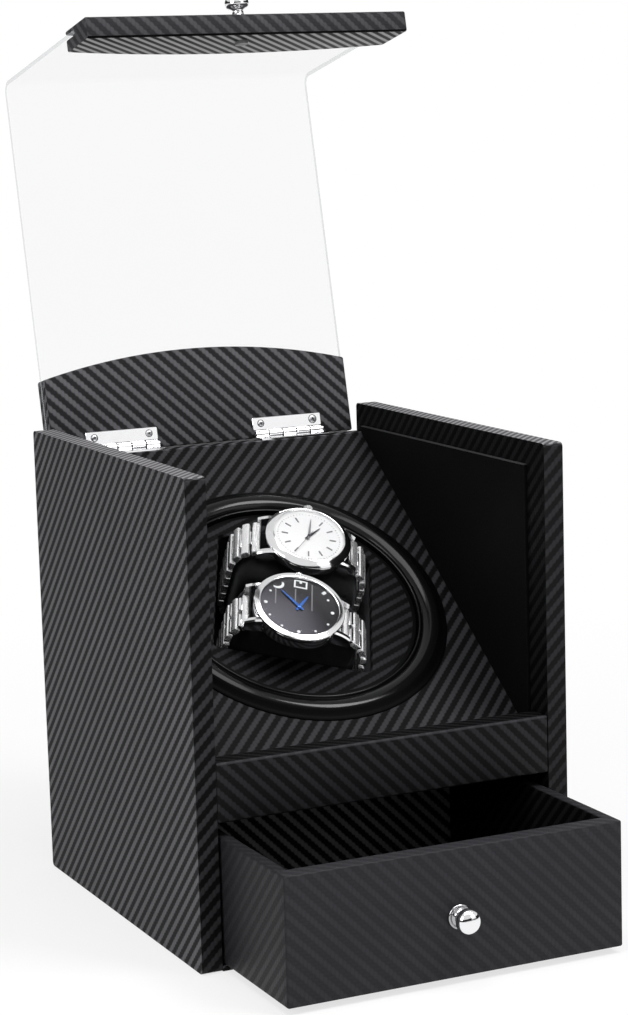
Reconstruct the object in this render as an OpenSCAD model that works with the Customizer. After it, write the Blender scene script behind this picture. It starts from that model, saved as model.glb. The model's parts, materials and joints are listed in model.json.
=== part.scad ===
// Watch winder box: wrapped board case with a sloped display panel, a motor
// driven turntable for two watches, a drawer, and a hinged lid with a bent
// clear window. Origin: centre of the base underside. +X right, +Y rear, +Z up.

/* [Case] */
// Overall width of the case
box_w = 180; // [170:1:200]
// Overall depth of the case
box_d = 186; // [182:1:200]
// Overall height of the side panels
box_h = 213; // [210:1:225]
// Thickness of each side panel
side_t = 9.5; // [8:0.5:11]
// Thickness of the back panel
back_t = 8; // [8:0.5:9]
// Thickness of the floor panel
floor_t = 2.5; // [2:0.25:4]
// Corner radius of the side panels' outline
side_r = 2; // [1:0.5:4]
// Height of the back panel's top edge
back_h = 199.2; // [198:0.2:201]
// Height of the front rail's bottom edge
rail_z = 65; // [64:0.5:67]
// Height of the front rail
rail_h = 26; // [25:0.5:28]
// Thickness of the front rail
rail_t = 12; // [10:0.5:13]
// Thickness of the drawer shelf
shelf_t = 4; // [3:0.5:5]
// Thickness of the smooth inner linings
lining_t = 1.5; // [1:0.1:2.5]

/* [Display panel] */
// Slope of the display panel above the horizontal
slope = 36.1; // [35:0.1:37]
// Height of the panel's surface where it meets the rail
foot_z = 77.8; // [76:0.2:80]
// Thickness of the display panel
panel_t = 5; // [4:0.5:6]
// Distance of the turntable axis behind the case front
disc_y = 91.7; // [88:0.1:95]
// Radius of the opening under the trim ring
hole_r = 60.6; // [60.2:0.1:62]
// Outer radius of the trim ring
ring_r = 71.5; // [68:0.5:73]
// Height of the trim ring's crest above the panel
ring_h = 3.6; // [3:0.2:5]

/* [Turntable] */
// Radius of the turntable disc
disc_r = 58.4; // [57:0.1:58.6]
// Thickness of the turntable disc
disc_t = 3; // [2:0.5:4]
// Rest angle of the turntable
disc_turn = -22.3; // [-90:0.1:90]
// Side of the square recess for the cushions
recess_w = 73; // [72:0.5:75]
// Depth of the recess below the disc's face
recess_d = 34; // [32:0.5:36]
// Wall thickness of the holder cup
cup_t = 2; // [1.5:0.25:2.5]
// Diameter of the turntable shaft
shaft_d = 6; // [5:0.5:7]
// Radial running clearance of shafts
run_gap = 0.05; // [0.03:0.01:0.08]

/* [Cushions] */
// Length of a cushion across the recess
cush_l = 60; // [56:0.5:64]
// Offset of the cushions from the recess's middle
cush_x = 0.6; // [-1:0.1:1]
// Width of a cushion
cush_w = 36; // [34:0.5:36]
// Height of a cushion's top above the disc
cush_top = 12; // [10:0.5:13]
// Corner radius of a cushion's ends
cush_r = 11; // [7:0.5:13]

/* [Drive] */
// Gear module
gear_m = 0.8; // [0.7:0.05:0.9]
// Teeth on the output gear
out_teeth = 44; // [36:1:50]
// Teeth on the idler gear
idler_teeth = 28; // [24:1:32]
// Teeth on the motor pinion
pinion_teeth = 14; // [13:1:18]
// Width of the gears
gear_w = 4; // [3:0.5:4.5]
// Wall thickness of the gearbox case
gbox_t = 1.6; // [1.4:0.1:2]
// Diameter of the motor
motor_d = 20; // [18:0.5:22]
// Length of the motor
motor_l = 20; // [16:0.5:22]

/* [Drawer] */
// Width of the drawer
drawer_w = 158.4; // [156:0.2:159]
// Height of the drawer
drawer_h = 55.8; // [52:0.2:58]
// Depth of the drawer
drawer_d = 150; // [140:1:165]
// Thickness of the drawer front
front_t = 8; // [7:0.5:9]
// Thickness of the drawer's sides and back
wall_t = 5.5; // [4:0.5:6.5]
// Thickness of the drawer bottom
bottom_t = 3; // [2.5:0.25:4]
// Distance that the drawer stands open
drawer_out = 63.5; // [40:0.5:70]

/* [Lid] */
// Width of the lid
lid_w = 159.4; // [156:0.2:160.4]
// Opening of the lid past the vertical
lid_lean = 12.9; // [5:0.1:20]
// Thickness of the lid's rear board
board_t = 9.6; // [8.5:0.1:11]
// Length of the rear board at its sides
board_l = 35.2; // [32:0.2:38]
// Rise of the arched edges of the rear board and the bar
arch_h = 10.2; // [8:0.2:12]
// Thickness of the clear window
pane_t = 2; // [1.5:0.25:2.5]
// Distance of the hinge line from the front pane's middle
pane_l = 179.5; // [177:0.5:181]
// Height of the front bar at its sides
bar_h = 26.5; // [22:0.5:30]
// Thickness of the front bar
bar_t = 9.6; // [8:0.2:12]

/* [Hinges] */
// Length of each hinge
hinge_l = 37; // [34:1:40]
// Distance of each hinge's middle from the centre line
hinge_x = 43.8; // [40:0.2:46]
// Width of a hinge leaf from the hinge line
leaf_w = 8.3; // [7:0.1:8.5]
// Thickness of a hinge leaf
leaf_t = 1; // [0.8:0.1:1.1]
// Radius of the hinge knuckles
knuckle_r = 1.8; // [1.6:0.1:1.9]
// Diameter of the hinge pins
pin_d = 1.8; // [1.6:0.1:2]

/* [Knobs] */
// Diameter of the knobs' rounded caps
knob_d = 10; // [9:0.5:12]
// Height of the knobs
knob_h = 12; // [11:0.5:14]

/* [Watches] */
// Radius of the light watch's case
light_r = 20.2; // [18:0.1:21]
// Width of the light watch's bezel
light_bezel = 3.7; // [2:0.1:4]
// Radius of the dark watch's case
dark_r = 21; // [19:0.1:21.5]
// Width of the dark watch's bezel
dark_bezel = 3; // [2:0.1:4]
// Thickness of the watch cases
case_t = 9; // [8:0.5:10]
// Width of the bracelets
band_w = 20; // [18:0.5:21]
// Thickness of the bracelets
band_t = 2.8; // [2.4:0.1:3]
// Distance of each watch's middle from the turntable axis
watch_a = 23.8; // [22:0.1:25]

/* [Hidden] */
$fn = 64;

// Overlap of joined shapes, and the cut that keeps a subtraction from ending on a face
eps = 0.01;
// Gap at rest between pieces that only stand on each other
seat = 0.3;
// Radial gap of pieces that are glued or pressed together
glue = 0.02;

// Half of the clear width between the side panels
inner_x = box_w / 2 - side_t;
// Front face of the back panel, and the case's middle
back_y = box_d - back_t;
mid_y = box_d / 2;
// Top of the front rail and of the shelf over the drawer
rail_top = rail_z + rail_h;
// Height of the turntable axis where it crosses the panel's surface
disc_z = panel_height(disc_y);

// Levels below the panel's surface, measured along the turntable axis
shaft_r = shaft_d / 2;
disc_seat = disc_t;
cup_bottom = recess_d + cup_t;
cup_w = recess_w + 2 * cup_t;
boss_h = 5;
boss_r = shaft_r + 6;
bush_flange_t = 1;
bush_flange_r = shaft_r + 4;
bush_r = shaft_r + 2;
bush_play = 0.2;
bridge_top = cup_bottom + boss_h + bush_flange_t + bush_play;
bridge_t = 2;
bridge_w = 34;
gbox_top = bridge_top + bridge_t;
gear_room = 2;
gear_top = gbox_top + gear_room + 1;
gear_end = gear_top + gear_w;
gbox_floor = gear_end + gear_room + 1;
gbox_bottom = gbox_floor + gbox_t;
clip_t = 0.8;
clip_r = shaft_r + 2.2;
clip_groove = 0.5;
shaft_top = cup_bottom + 0.5;
standoff_r = 4;
standoff_bore = 1.5;
standoff_x = hole_r + standoff_r + 1.6;
standoff_y = 10;
bridge_l = 2 * (standoff_x + standoff_r + 2);

// Gear centres, seen from above the panel, in the plane of the gears
idler_angle = 10;
pinion_angle = 10;
out_idler = gear_m * (out_teeth + idler_teeth) / 2;
idler_pinion = gear_m * (idler_teeth + pinion_teeth) / 2;
idler_xy = out_idler * [cos(idler_angle), sin(idler_angle)];
pinion_xy = idler_xy + idler_pinion * [cos(pinion_angle), sin(pinion_angle)];
idler_axle_r = 1.5;
motor_r = motor_d / 2;
motor_shaft_r = 1;
gbox_r = 3;
gbox_low = -(gear_m * (out_teeth / 2 + 1) + gear_room + gbox_t);
gbox_right = pinion_xy[0] + motor_r + gbox_t;
gbox_high = max(-gbox_low, pinion_xy[1] + motor_r + gbox_t);
post_r = 2.6;
post_in = gbox_t + post_r - 0.6;
post_bore = 1;
posts = [[gbox_low + post_in, gbox_low + post_in], [gbox_right - post_in, gbox_low + post_in],
    [gbox_low + post_in, gbox_high - post_in], [gbox_right - post_in, gbox_high - post_in]];
standoffs_xy = [for (x = [-1, 1], y = [-1, 1]) [x * standoff_x, y * standoff_y]];
drive_screw_l = 6;

// Drawer
drawer_z = floor_t + seat;
drawer_y = -drawer_out;
knob_z = drawer_z + drawer_h / 2 - 1.6;
knob_screw_r = 1.5;
knob_bore_l = 6;
screw_end_gap = 0.5;

// Lid: u runs along the lid from the hinge line, v outward from it
hinge_gap = knuckle_r + seat;
hinge_y = box_d + 1.5;
hinge_z = back_h + hinge_gap;
board_back = 1.8;
pane_v = hinge_gap + board_t / 2 - 0.4;
pane_start = 10;
bend_r = 5;
bar_seat = 0.5;
bar_front = 3;
bar_drop = hinge_z - rail_top - bar_seat;
bar_back = bar_t - bar_front;
pane_in_bar = 12;
slot_gap = 0.05;
knob_from_bar_end = 12.3;
lid_knob_v = -(bar_drop - knob_from_bar_end);

// Linings: clear of the closed lid
lining_y = hinge_y - pane_l + bar_back + 0.4;
lining_h = hinge_z + hinge_gap - 1.4;

// Hinges
knuckles = 5;
knuckle_l = hinge_l / knuckles;
knuckle_gap = 0.2;
leaf_clear = 0.35;
leaf_screw_u = 5.4;
leaf_screw_x = hinge_l / 2 - 4.4;
leaf_screw_r = 1;
leaf_head_r = 1.9;
leaf_head_t = 0.7;
leaf_screw_l = 5.2;

// Cushions and watches, in the turntable's frame
cush_gap = 0.3;
cush_low = -recess_d + seat + band_t;
cush_h = cush_top - cush_low;
cush_y = (cush_w + cush_gap) / 2;
light_x = 2;
dark_x = -2;
case_low = cush_top + 0.7;
case_top = case_low + case_t;
case_foot = 2;
dial_z = case_top - 1.6;
dial_t = 0.8;
crystal_t = 0.8;
crystal_rise = 0.3;
crown_l = 2.5;
crown_r = 2.4;
lug_l = 4;
lug_w = 3;
hand_t = 0.25;
// Angles of the hour and the minute hand, clockwise from 12
light_time = [129, 94];
dark_time = [118, 46];

// Fittings on the back panel
fitting_z = 92;
jack_x = 40;
jack_r = 4;
switch_x = -40;
switch_r = 3;
fitting_flange = 1.2;
spindle_r = 1.5;
board_x = 26;
board_h = 26;
board_gap = 5;

// Height of the display panel's surface at a distance behind the case front
function panel_height(y) = foot_z + (y - rail_t) * tan(slope);

// Radius of the arc through both ends of a chord with a given rise
function arc_radius(chord, rise) = (chord * chord / 4 + rise * rise) / (2 * rise);

// Involute gear outline, with play taken off each flank
flank_steps = 4;
gear_play = 0.06;
pressure = 20;
function turned(p, a) = [p[0] * cos(a) - p[1] * sin(a), p[0] * sin(a) + p[1] * cos(a)];
function involute(rb, t) = rb * [cos(t) + t * PI / 180 * sin(t), sin(t) - t * PI / 180 * cos(t)];
function involute_at(rb, r) = involute(rb, sqrt(max(0, r * r / (rb * rb) - 1)) * 180 / PI);
function polar(p) = atan2(p[1], p[0]);
function half_tooth(z) =
    let (rp = gear_m * z / 2)
    90 / z - gear_play / rp * 180 / PI + polar(involute_at(rp * cos(pressure), rp));
function flank(z) =
    let (rp = gear_m * z / 2, rb = rp * cos(pressure), r0 = max(rb, rp - 1.1 * gear_m),
        r1 = rp + 0.9 * gear_m)
    concat([[rp - 1.25 * gear_m, 0]],
        [for (i = [0:flank_steps]) involute_at(rb, r0 + (r1 - r0) * i / flank_steps)]);
function tooth(z) =
    let (side = [for (p = flank(z)) turned(p, -half_tooth(z))])
    concat(side, [for (i = [len(side) - 1:-1:0]) [side[i][0], -side[i][1]]]);

// Angle at which a gear of z2 teeth meshes with one of z1 teeth that is turned by a1
function mesh_angle(z1, a1, z2, at) =
    let (p = (at - a1) * z1 / 360)
    at + 180 - (0.5 - (p - floor(p))) * 360 / z2;
idler_turn = mesh_angle(out_teeth, 0, idler_teeth, idler_angle);
pinion_turn = mesh_angle(idler_teeth, idler_turn, pinion_teeth, pinion_angle);

// ---------------------------------------------------------------- helpers

// Rectangle with round corners, centred on the origin
module round_square(w, h, r) {
    square([w - 2 * r, h], center = true);
    square([w, h - 2 * r], center = true);
    for (x = [-1, 1], y = [-1, 1]) translate([x * (w / 2 - r), y * (h / 2 - r)]) circle(r);
}

// Outline in the YZ plane, extruded along X from x0 to x1
module along_x(x0, x1) {
    translate([x0, 0, 0]) rotate([90, 0, 90]) linear_extrude(x1 - x0) children();
}

// The case's frame, with its front face at y = 0
module in_case() {
    translate([0, -mid_y, 0]) children();
}

// Frame of the sloped panel: X across, Y up the slope, Z out of its surface
module on_slope() {
    in_case() translate([0, disc_y, disc_z]) rotate([slope, 0, 0]) children();
}

// Frame of the turntable at its rest angle
module on_turntable() {
    on_slope() rotate([0, 0, disc_turn]) children();
}

// Frame of the lid at its rest angle: X across, Y along the lid, Z outward
module on_lid() {
    in_case() translate([0, hinge_y, hinge_z]) rotate([90 - lid_lean, 0, 0]) mirror([0, 0, 1])
        children();
}

// Cylinder from one level below the panel's surface down to another
module down(r, from, to) {
    translate([0, 0, -to]) cylinder(r = r, h = to - from);
}

// A copy on each side of the middle
module both_sides() {
    children();
    mirror([1, 0, 0]) children();
}

// Board outline with straight sides and one arched edge
module arched(w, l, rise) {
    r = arc_radius(w, rise);
    intersection() {
        translate([-w / 2, 0]) square([w, l + rise]);
        translate([0, l + rise - r]) circle(r, $fn = 180);
    }
}

// Slotted screw along -Z, the underside of its head at z = 0
module screw(r, l, head_r, head_t) {
    slot_w = head_r * 0.22;
    difference() {
        union() {
            cylinder(r = head_r, h = head_t);
            translate([0, 0, -l]) cylinder(r = r, h = l + eps);
        }
        translate([-head_r - eps, -slot_w / 2, head_t / 2]) cube([2 * head_r + 2 * eps, slot_w, head_t]);
    }
}

// Turned knob along +Z: foot flange, neck and rounded cap, bored for its screw
module knob() {
    foot_r = knob_d * 0.55;
    foot_t = 1.2;
    neck_r = knob_d * 0.26;
    cap_r = knob_d / 2;
    cap_t = knob_h * 0.5;
    dome_r = cap_r * 1.25;
    difference() {
        union() {
            cylinder(r = foot_r, h = foot_t);
            cylinder(r = neck_r, h = knob_h - cap_t + eps);
            intersection() {
                translate([0, 0, knob_h - cap_t]) cylinder(r = cap_r, h = cap_t);
                translate([0, 0, knob_h - dome_r]) sphere(r = dome_r);
            }
        }
        translate([0, 0, -eps]) cylinder(r = knob_screw_r + glue, h = knob_bore_l + eps);
    }
}

// Screw that holds a knob, with its head behind a board of the given thickness
module knob_screw(board) {
    head_r = 3;
    head_t = 1.6;
    reach = board + knob_bore_l - screw_end_gap;
    translate([0, 0, -board]) mirror([0, 0, 1]) screw(knob_screw_r, reach, head_r, head_t);
}

// ---------------------------------------------------------------- case

module side_panel() {
    along_x(inner_x, box_w / 2) translate([mid_y, box_h / 2]) round_square(box_d, box_h, side_r);
}

module left_side_panel() {
    color("#26262a") in_case() mirror([1, 0, 0]) side_panel();
}

module right_side_panel() {
    color("#26262a") in_case() side_panel();
}

module back_panel() {
    color("#26262a") in_case() difference() {
        translate([-inner_x, back_y, 0]) cube([2 * inner_x, back_t, back_h]);
        translate([jack_x, back_y - eps, fitting_z]) rotate([-90, 0, 0])
            cylinder(r = jack_r + glue, h = back_t + 2 * eps);
        translate([switch_x, back_y - eps, fitting_z]) rotate([-90, 0, 0])
            cylinder(r = switch_r + glue, h = back_t + 2 * eps);
        hinge_sites() translate([0, -leaf_screw_u, -leaf_screw_l - eps])
            cylinder(r = leaf_screw_r + glue, h = 2 * leaf_screw_l);
    }
}

module floor_panel() {
    color("#202024") in_case() translate([-inner_x, 0, 0]) cube([2 * inner_x, back_y, floor_t]);
}

module drawer_shelf() {
    color("#202024") in_case() translate([-inner_x, rail_t, rail_z])
        cube([2 * inner_x, back_y - rail_t, shelf_t]);
}

module front_rail() {
    color("#2c2c30") in_case() translate([-inner_x, 0, rail_z]) cube([2 * inner_x, rail_t, rail_h]);
}

module display_panel() {
    drop = panel_t / cos(slope);
    color("#2c2c30") difference() {
        in_case() along_x(-inner_x, inner_x) polygon([
            [rail_t, panel_height(rail_t) - drop], [back_y, panel_height(back_y) - drop],
            [back_y, panel_height(back_y)], [rail_t, panel_height(rail_t)]]);
        on_slope() translate([0, 0, -2 * panel_t]) cylinder(r = hole_r, h = 4 * panel_t, $fn = 128);
        on_slope() for (p = standoffs_xy) translate([p[0], p[1], -panel_t - eps])
            cylinder(r = standoff_bore, h = panel_t * 0.7);
    }
}

module side_linings() {
    color("#101012") in_case() both_sides() along_x(inner_x - lining_t, inner_x) polygon([
        [lining_y, panel_height(lining_y)], [back_y, panel_height(back_y)],
        [back_y, lining_h], [lining_y, lining_h]]);
}

module trim_ring() {
    inner_r = disc_r + 0.6;
    sleeve_r = hole_r - glue;
    width = ring_r - inner_r;
    r = arc_radius(width, ring_h);
    color("#0a0a0c") on_slope() rotate_extrude($fn = 128) {
        intersection() {
            translate([inner_r + width / 2, ring_h - r]) circle(r);
            translate([inner_r, 0]) square([width, ring_h + 1]);
        }
        translate([inner_r, -panel_t]) square([sleeve_r - inner_r, panel_t + eps]);
    }
}

// ---------------------------------------------------------------- turntable

module turntable_disc() {
    color("#2c2c30") on_turntable() difference() {
        down(disc_r, 0, disc_seat);
        translate([-recess_w / 2, -recess_w / 2, -disc_t - 1]) cube([recess_w, recess_w, disc_t + 2]);
    }
}

module watch_cup() {
    depth = cup_bottom - disc_seat;
    color("#121214") on_turntable() {
        difference() {
            union() {
                translate([-cup_w / 2, -cup_w / 2, -cup_bottom]) cube([cup_w, cup_w, depth]);
                down(boss_r, cup_bottom - eps, cup_bottom + boss_h);
            }
            translate([-recess_w / 2, -recess_w / 2, -recess_d]) cube([recess_w, recess_w, recess_d]);
            down(shaft_r + glue, shaft_top - eps, cup_bottom + boss_h + 1);
        }
    }
}

module turntable_shaft() {
    flat = shaft_r * 0.75;
    color("silver") on_turntable() difference() {
        down(shaft_r, shaft_top, gbox_bottom);
        // Flat that drives the gear
        translate([flat, -shaft_r, -gear_end]) cube([shaft_r, shaft_d, gear_w]);
        // Groove for the clip
        difference() {
            down(shaft_r + 1, gear_end, gear_end + clip_t);
            down(shaft_r - clip_groove, gear_end - 1, gear_end + clip_t + 1);
        }
    }
}

module retaining_clip() {
    color("silver") on_turntable() difference() {
        down(clip_r, gear_end + glue, gear_end + clip_t - glue);
        down(shaft_r - clip_groove + glue, gear_end - 1, gear_end + clip_t + 1);
        translate([0, -shaft_r * 0.7, -gear_end - clip_t - 1]) cube([clip_r + 1, shaft_r * 1.4, clip_t + 2]);
    }
}

module output_gear() {
    flat = shaft_r * 0.75 + glue;
    color("#e8e4d8") on_turntable() translate([0, 0, -gear_end]) linear_extrude(gear_w) difference() {
        rotate(-disc_turn) gear(out_teeth, 0);
        intersection() {
            circle(shaft_r + glue);
            translate([-2 * shaft_r, -2 * shaft_r]) square([2 * shaft_r + flat, 4 * shaft_r]);
        }
    }
}

module shaft_bush() {
    color("#b08d57") on_slope() difference() {
        union() {
            down(bush_flange_r, bridge_top - bush_flange_t, bridge_top);
            down(bush_r, bridge_top - eps, gear_top - seat);
        }
        down(shaft_r + run_gap, 0, gear_end);
    }
}

// ---------------------------------------------------------------- drive

module gear(z, turn) {
    rotate(turn) union() {
        circle(gear_m * (z / 2 - 1.25) + eps);
        polygon([for (i = [0:z - 1]) for (p = tooth(z)) turned(p, 360 * i / z)]);
    }
}

// Outline of the gearbox, grown by a margin
module gbox_outline(grow) {
    w = gbox_right - gbox_low;
    h = gbox_high - gbox_low;
    translate([gbox_low + w / 2, gbox_low + h / 2]) round_square(w + 2 * grow, h + 2 * grow, gbox_r + grow);
}

module motor_bridge() {
    color("#9a9aa0") on_slope() difference() {
        translate([0, 0, -gbox_top]) linear_extrude(bridge_t) {
            round_square(bridge_l, bridge_w, 4);
            gbox_outline(0);
        }
        down(bush_r + glue, 0, gbox_top + 1);
        for (p = standoffs_xy) translate(p) down(standoff_bore + 0.2, 0, gbox_top + 1);
        for (p = posts) translate(p) down(post_bore + 0.2, 0, gbox_top + 1);
    }
}

module standoffs() {
    color("#c0a060") on_slope() for (p = standoffs_xy) translate(p) difference() {
        down(standoff_r, panel_t, bridge_top);
        down(standoff_bore + glue, bridge_top - drive_screw_l, bridge_top + 1);
    }
}

module gearbox_case() {
    color("#303034") on_slope() difference() {
        union() {
            translate([0, 0, -gbox_bottom]) linear_extrude(gbox_bottom - gbox_top) difference() {
                gbox_outline(0);
                gbox_outline(-gbox_t);
            }
            translate([0, 0, -gbox_bottom]) linear_extrude(gbox_t) gbox_outline(0);
            for (p = posts) translate(p) down(post_r, gbox_top, gbox_bottom);
        }
        for (p = posts) translate(p) down(post_bore + glue, 0, gbox_top + drive_screw_l);
        down(shaft_r + run_gap, 0, gbox_bottom + 1);
        translate(idler_xy) down(idler_axle_r + glue, 0, gbox_bottom + 1);
        translate(pinion_xy) down(motor_shaft_r * 3, 0, gbox_bottom + 1);
    }
}

module drive_screws() {
    reach = bridge_t + drive_screw_l - screw_end_gap;
    standoff_head_r = 2.8;
    standoff_head_t = 1.4;
    post_head_r = 2;
    post_head_t = 1;
    color("silver") on_slope() {
        for (p = standoffs_xy) translate([p[0], p[1], -gbox_top]) mirror([0, 0, 1])
            screw(standoff_bore, reach, standoff_head_r, standoff_head_t);
        for (p = posts) translate([p[0], p[1], -bridge_top]) screw(post_bore, reach, post_head_r, post_head_t);
    }
}

module idler_gear() {
    color("#e8e4d8") on_slope() translate(idler_xy) difference() {
        union() {
            translate([0, 0, -gear_end]) linear_extrude(gear_w) gear(idler_teeth, idler_turn);
            down(idler_axle_r + 2, gear_end - eps, gbox_floor - seat);
            down(idler_axle_r + 2, gbox_top + seat, gear_top + eps);
        }
        down(idler_axle_r + run_gap, 0, gbox_bottom + 1);
    }
}

module idler_axle() {
    color("silver") on_slope() translate(idler_xy) down(idler_axle_r, gbox_top + glue, gbox_bottom);
}

module motor_pinion() {
    color("#b08d57") on_slope() translate(pinion_xy) difference() {
        translate([0, 0, -gear_end]) linear_extrude(gear_w) gear(pinion_teeth, pinion_turn);
        down(motor_shaft_r + glue, 0, gbox_bottom);
    }
}

module motor_shaft() {
    color("silver") on_slope() translate(pinion_xy) down(motor_shaft_r, gear_top - 0.5, gbox_bottom + 4);
}

module motor() {
    color("#b8b8bc") on_slope() translate(pinion_xy) difference() {
        union() {
            down(motor_r, gbox_bottom, gbox_bottom + motor_l);
            down(motor_shaft_r * 3 - glue, gbox_bottom - gbox_t / 2, gbox_bottom + eps);
            down(motor_r * 0.3, gbox_bottom + motor_l - eps, gbox_bottom + motor_l + 2);
        }
        down(motor_shaft_r + run_gap, 0, gbox_bottom + 4 + seat);
    }
}

// ---------------------------------------------------------------- back panel fittings

// Frame on the back panel's inner face, looking out of the back: Z points rearward
module on_back(x) {
    in_case() translate([x, back_y, fitting_z]) rotate([-90, 0, 0]) children();
}

module control_board() {
    pcb_t = 1.6;
    pillar_r = 2;
    pillar_in = 4;
    chip_l = 12;
    chip_w = 8;
    chip_t = 1.5;
    chips_x = [-12, 8];
    color("#1c5a34") in_case() translate([0, back_y, fitting_z]) {
        translate([-board_x, -board_gap - pcb_t, -board_h / 2]) cube([2 * board_x, pcb_t, board_h]);
        for (x = [-1, 1], z = [-1, 1])
            translate([x * (board_x - pillar_in), 0, z * (board_h / 2 - pillar_in)]) rotate([90, 0, 0])
                cylinder(r = pillar_r, h = board_gap + eps);
        for (x = chips_x)
            translate([x, -board_gap - pcb_t - chip_t, -chip_w / 2]) cube([chip_l, chip_t + eps, chip_w]);
    }
}

module dc_jack() {
    body_l = 9;
    pin_r = 1;
    color("#18181a") on_back(jack_x) difference() {
        union() {
            cylinder(r = jack_r, h = back_t + eps);
            translate([0, 0, back_t]) cylinder(r = jack_r + 1.5, h = fitting_flange);
            translate([-jack_r - 1, -jack_r - 1, -body_l]) cube([2 * jack_r + 2, 2 * jack_r + 2, body_l]);
        }
        difference() {
            cylinder(r = jack_r - 1.2, h = back_t + 2 * fitting_flange);
            translate([0, 0, -eps]) cylinder(r = pin_r, h = back_t - 1);
        }
    }
}

module mode_switch() {
    body_w = 13;
    body_l = 7;
    color("#303034") on_back(switch_x) difference() {
        union() {
            translate([-body_w / 2, -body_w / 2, -body_l]) cube([body_w, body_w, body_l]);
            cylinder(r = switch_r, h = back_t + fitting_flange);
        }
        translate([0, 0, -body_l / 2]) cylinder(r = spindle_r + run_gap, h = body_l + back_t);
    }
}

module mode_knob() {
    knob_r = 6;
    knob_l = 9;
    lift = back_t + fitting_flange + seat;
    color("#18181a") on_back(switch_x) difference() {
        union() {
            translate([0, 0, -2]) cylinder(r = spindle_r, h = lift + 3);
            translate([0, 0, lift]) cylinder(r = knob_r, h = knob_l);
        }
        // Pointer groove
        translate([-0.5, 1, lift + knob_l - 0.8]) cube([1, knob_r, 1]);
    }
}

// ---------------------------------------------------------------- lid

// Section of the bent window in the lid's (u, v) plane
module window_section() {
    difference() {
        bent_corner(pane_t / 2, 0);
        bent_corner(-pane_t / 2, 1);
    }
}

// The space under the window's middle surface, grown by a margin, run on past its two ends
module bent_corner(grow, past) {
    low = -(bar_drop - bar_h + pane_in_bar) - past;
    start = pane_start - past;
    bend = [pane_l - bend_r, pane_v - bend_r];
    translate([start, low]) square([bend[0] - start, pane_v + grow - low]);
    translate([start, low]) square([pane_l + grow - start, bend[1] - low]);
    translate(bend) circle(bend_r + grow);
}

module lid_window() {
    color([0.85, 0.9, 0.95, 0.4]) on_lid() along_x(-lid_w / 2, lid_w / 2) window_section();
}

module lid_rear_board() {
    slot = pane_t + 2 * slot_gap;
    color("#2c2c30") on_lid() difference() {
        translate([0, -board_back, hinge_gap]) linear_extrude(board_t)
            arched(lid_w, board_l + board_back, arch_h);
        translate([-lid_w / 2 - 1, pane_start - slot_gap, pane_v - slot / 2])
            cube([lid_w + 2, board_l + arch_h, slot]);
        for (s = [-1, 1], x = [-1, 1])
            translate([s * hinge_x + x * leaf_screw_x, leaf_screw_u, hinge_gap - eps])
                cylinder(r = leaf_screw_r + glue, h = leaf_screw_l);
    }
}

module lid_front_bar() {
    slot = pane_t + 2 * slot_gap;
    bar_top = bar_h - bar_drop;
    color("#2c2c30") on_lid() difference() {
        translate([0, pane_l - bar_back, -bar_drop]) mirror([0, 1, 0]) rotate([90, 0, 0])
            linear_extrude(bar_t) arched(lid_w, bar_h, arch_h);
        translate([-lid_w / 2 - 1, pane_l - slot / 2, bar_top - pane_in_bar - slot_gap])
            cube([lid_w + 2, slot, bar_h + arch_h]);
        translate([0, pane_l - bar_back - 1, lid_knob_v]) rotate([-90, 0, 0])
            cylinder(r = knob_screw_r + glue, h = bar_t + 2);
    }
}

module lid_knob() {
    color("silver") on_lid() translate([0, pane_l + bar_front, lid_knob_v]) rotate([-90, 0, 0]) knob();
}

module lid_knob_screw() {
    color("silver") on_lid() translate([0, pane_l + bar_front, lid_knob_v]) rotate([-90, 0, 0])
        knob_screw(bar_t);
}

// ---------------------------------------------------------------- hinges

// The places of the hinge screws, on the back panel's top edge
module hinge_sites() {
    for (s = [-1, 1], x = [-1, 1])
        translate([s * hinge_x + x * leaf_screw_x, hinge_y, back_h]) children();
}

// One leaf with its knuckles on the hinge line, the leaf spreading along +Y under Z = -gap
module leaf(first) {
    difference() {
        union() {
            for (s = [-1, 1]) translate([s * hinge_x, 0, 0]) {
                translate([-hinge_l / 2, 0, -hinge_gap]) cube([hinge_l, leaf_w, leaf_t]);
                for (i = [first:2:knuckles - 1])
                    translate([-hinge_l / 2 + i * knuckle_l + knuckle_gap / 2, 0, 0]) rotate([0, 90, 0])
                        cylinder(r = knuckle_r, h = knuckle_l - knuckle_gap);
            }
        }
        for (s = [-1, 1]) translate([s * hinge_x, 0, 0]) {
            for (i = [1 - first:2:knuckles - 1])
                translate([-hinge_l / 2 + i * knuckle_l - knuckle_gap / 2, -knuckle_r - 1, -hinge_gap - 1])
                    cube([knuckle_l + knuckle_gap, 2 * knuckle_r + 1 + leaf_clear, 2 * hinge_gap]);
            translate([-hinge_l / 2 - 1, 0, 0]) rotate([0, 90, 0])
                cylinder(r = pin_d / 2 + (first == 0 ? run_gap : glue), h = hinge_l + 2);
            for (x = [-1, 1]) translate([x * leaf_screw_x, leaf_screw_u, -hinge_gap - 1])
                cylinder(r = leaf_screw_r + 0.1, h = leaf_t + 2);
        }
    }
}

module hinge_box_leaves() {
    color("silver") in_case() translate([0, hinge_y, hinge_z]) mirror([0, 1, 0]) leaf(0);
}

module hinge_lid_leaves() {
    color("silver") on_lid() mirror([0, 0, 1]) leaf(1);
}

module hinge_pins() {
    color("silver") in_case() for (s = [-1, 1])
        translate([s * hinge_x - hinge_l / 2, hinge_y, hinge_z]) rotate([0, 90, 0])
            cylinder(r = pin_d / 2, h = hinge_l);
}

module hinge_lid_screws() {
    color("silver") on_lid() for (s = [-1, 1], x = [-1, 1])
        translate([s * hinge_x + x * leaf_screw_x, leaf_screw_u, hinge_gap - leaf_t]) mirror([0, 0, 1])
            screw(leaf_screw_r, leaf_screw_l, leaf_head_r, leaf_head_t);
}

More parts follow.
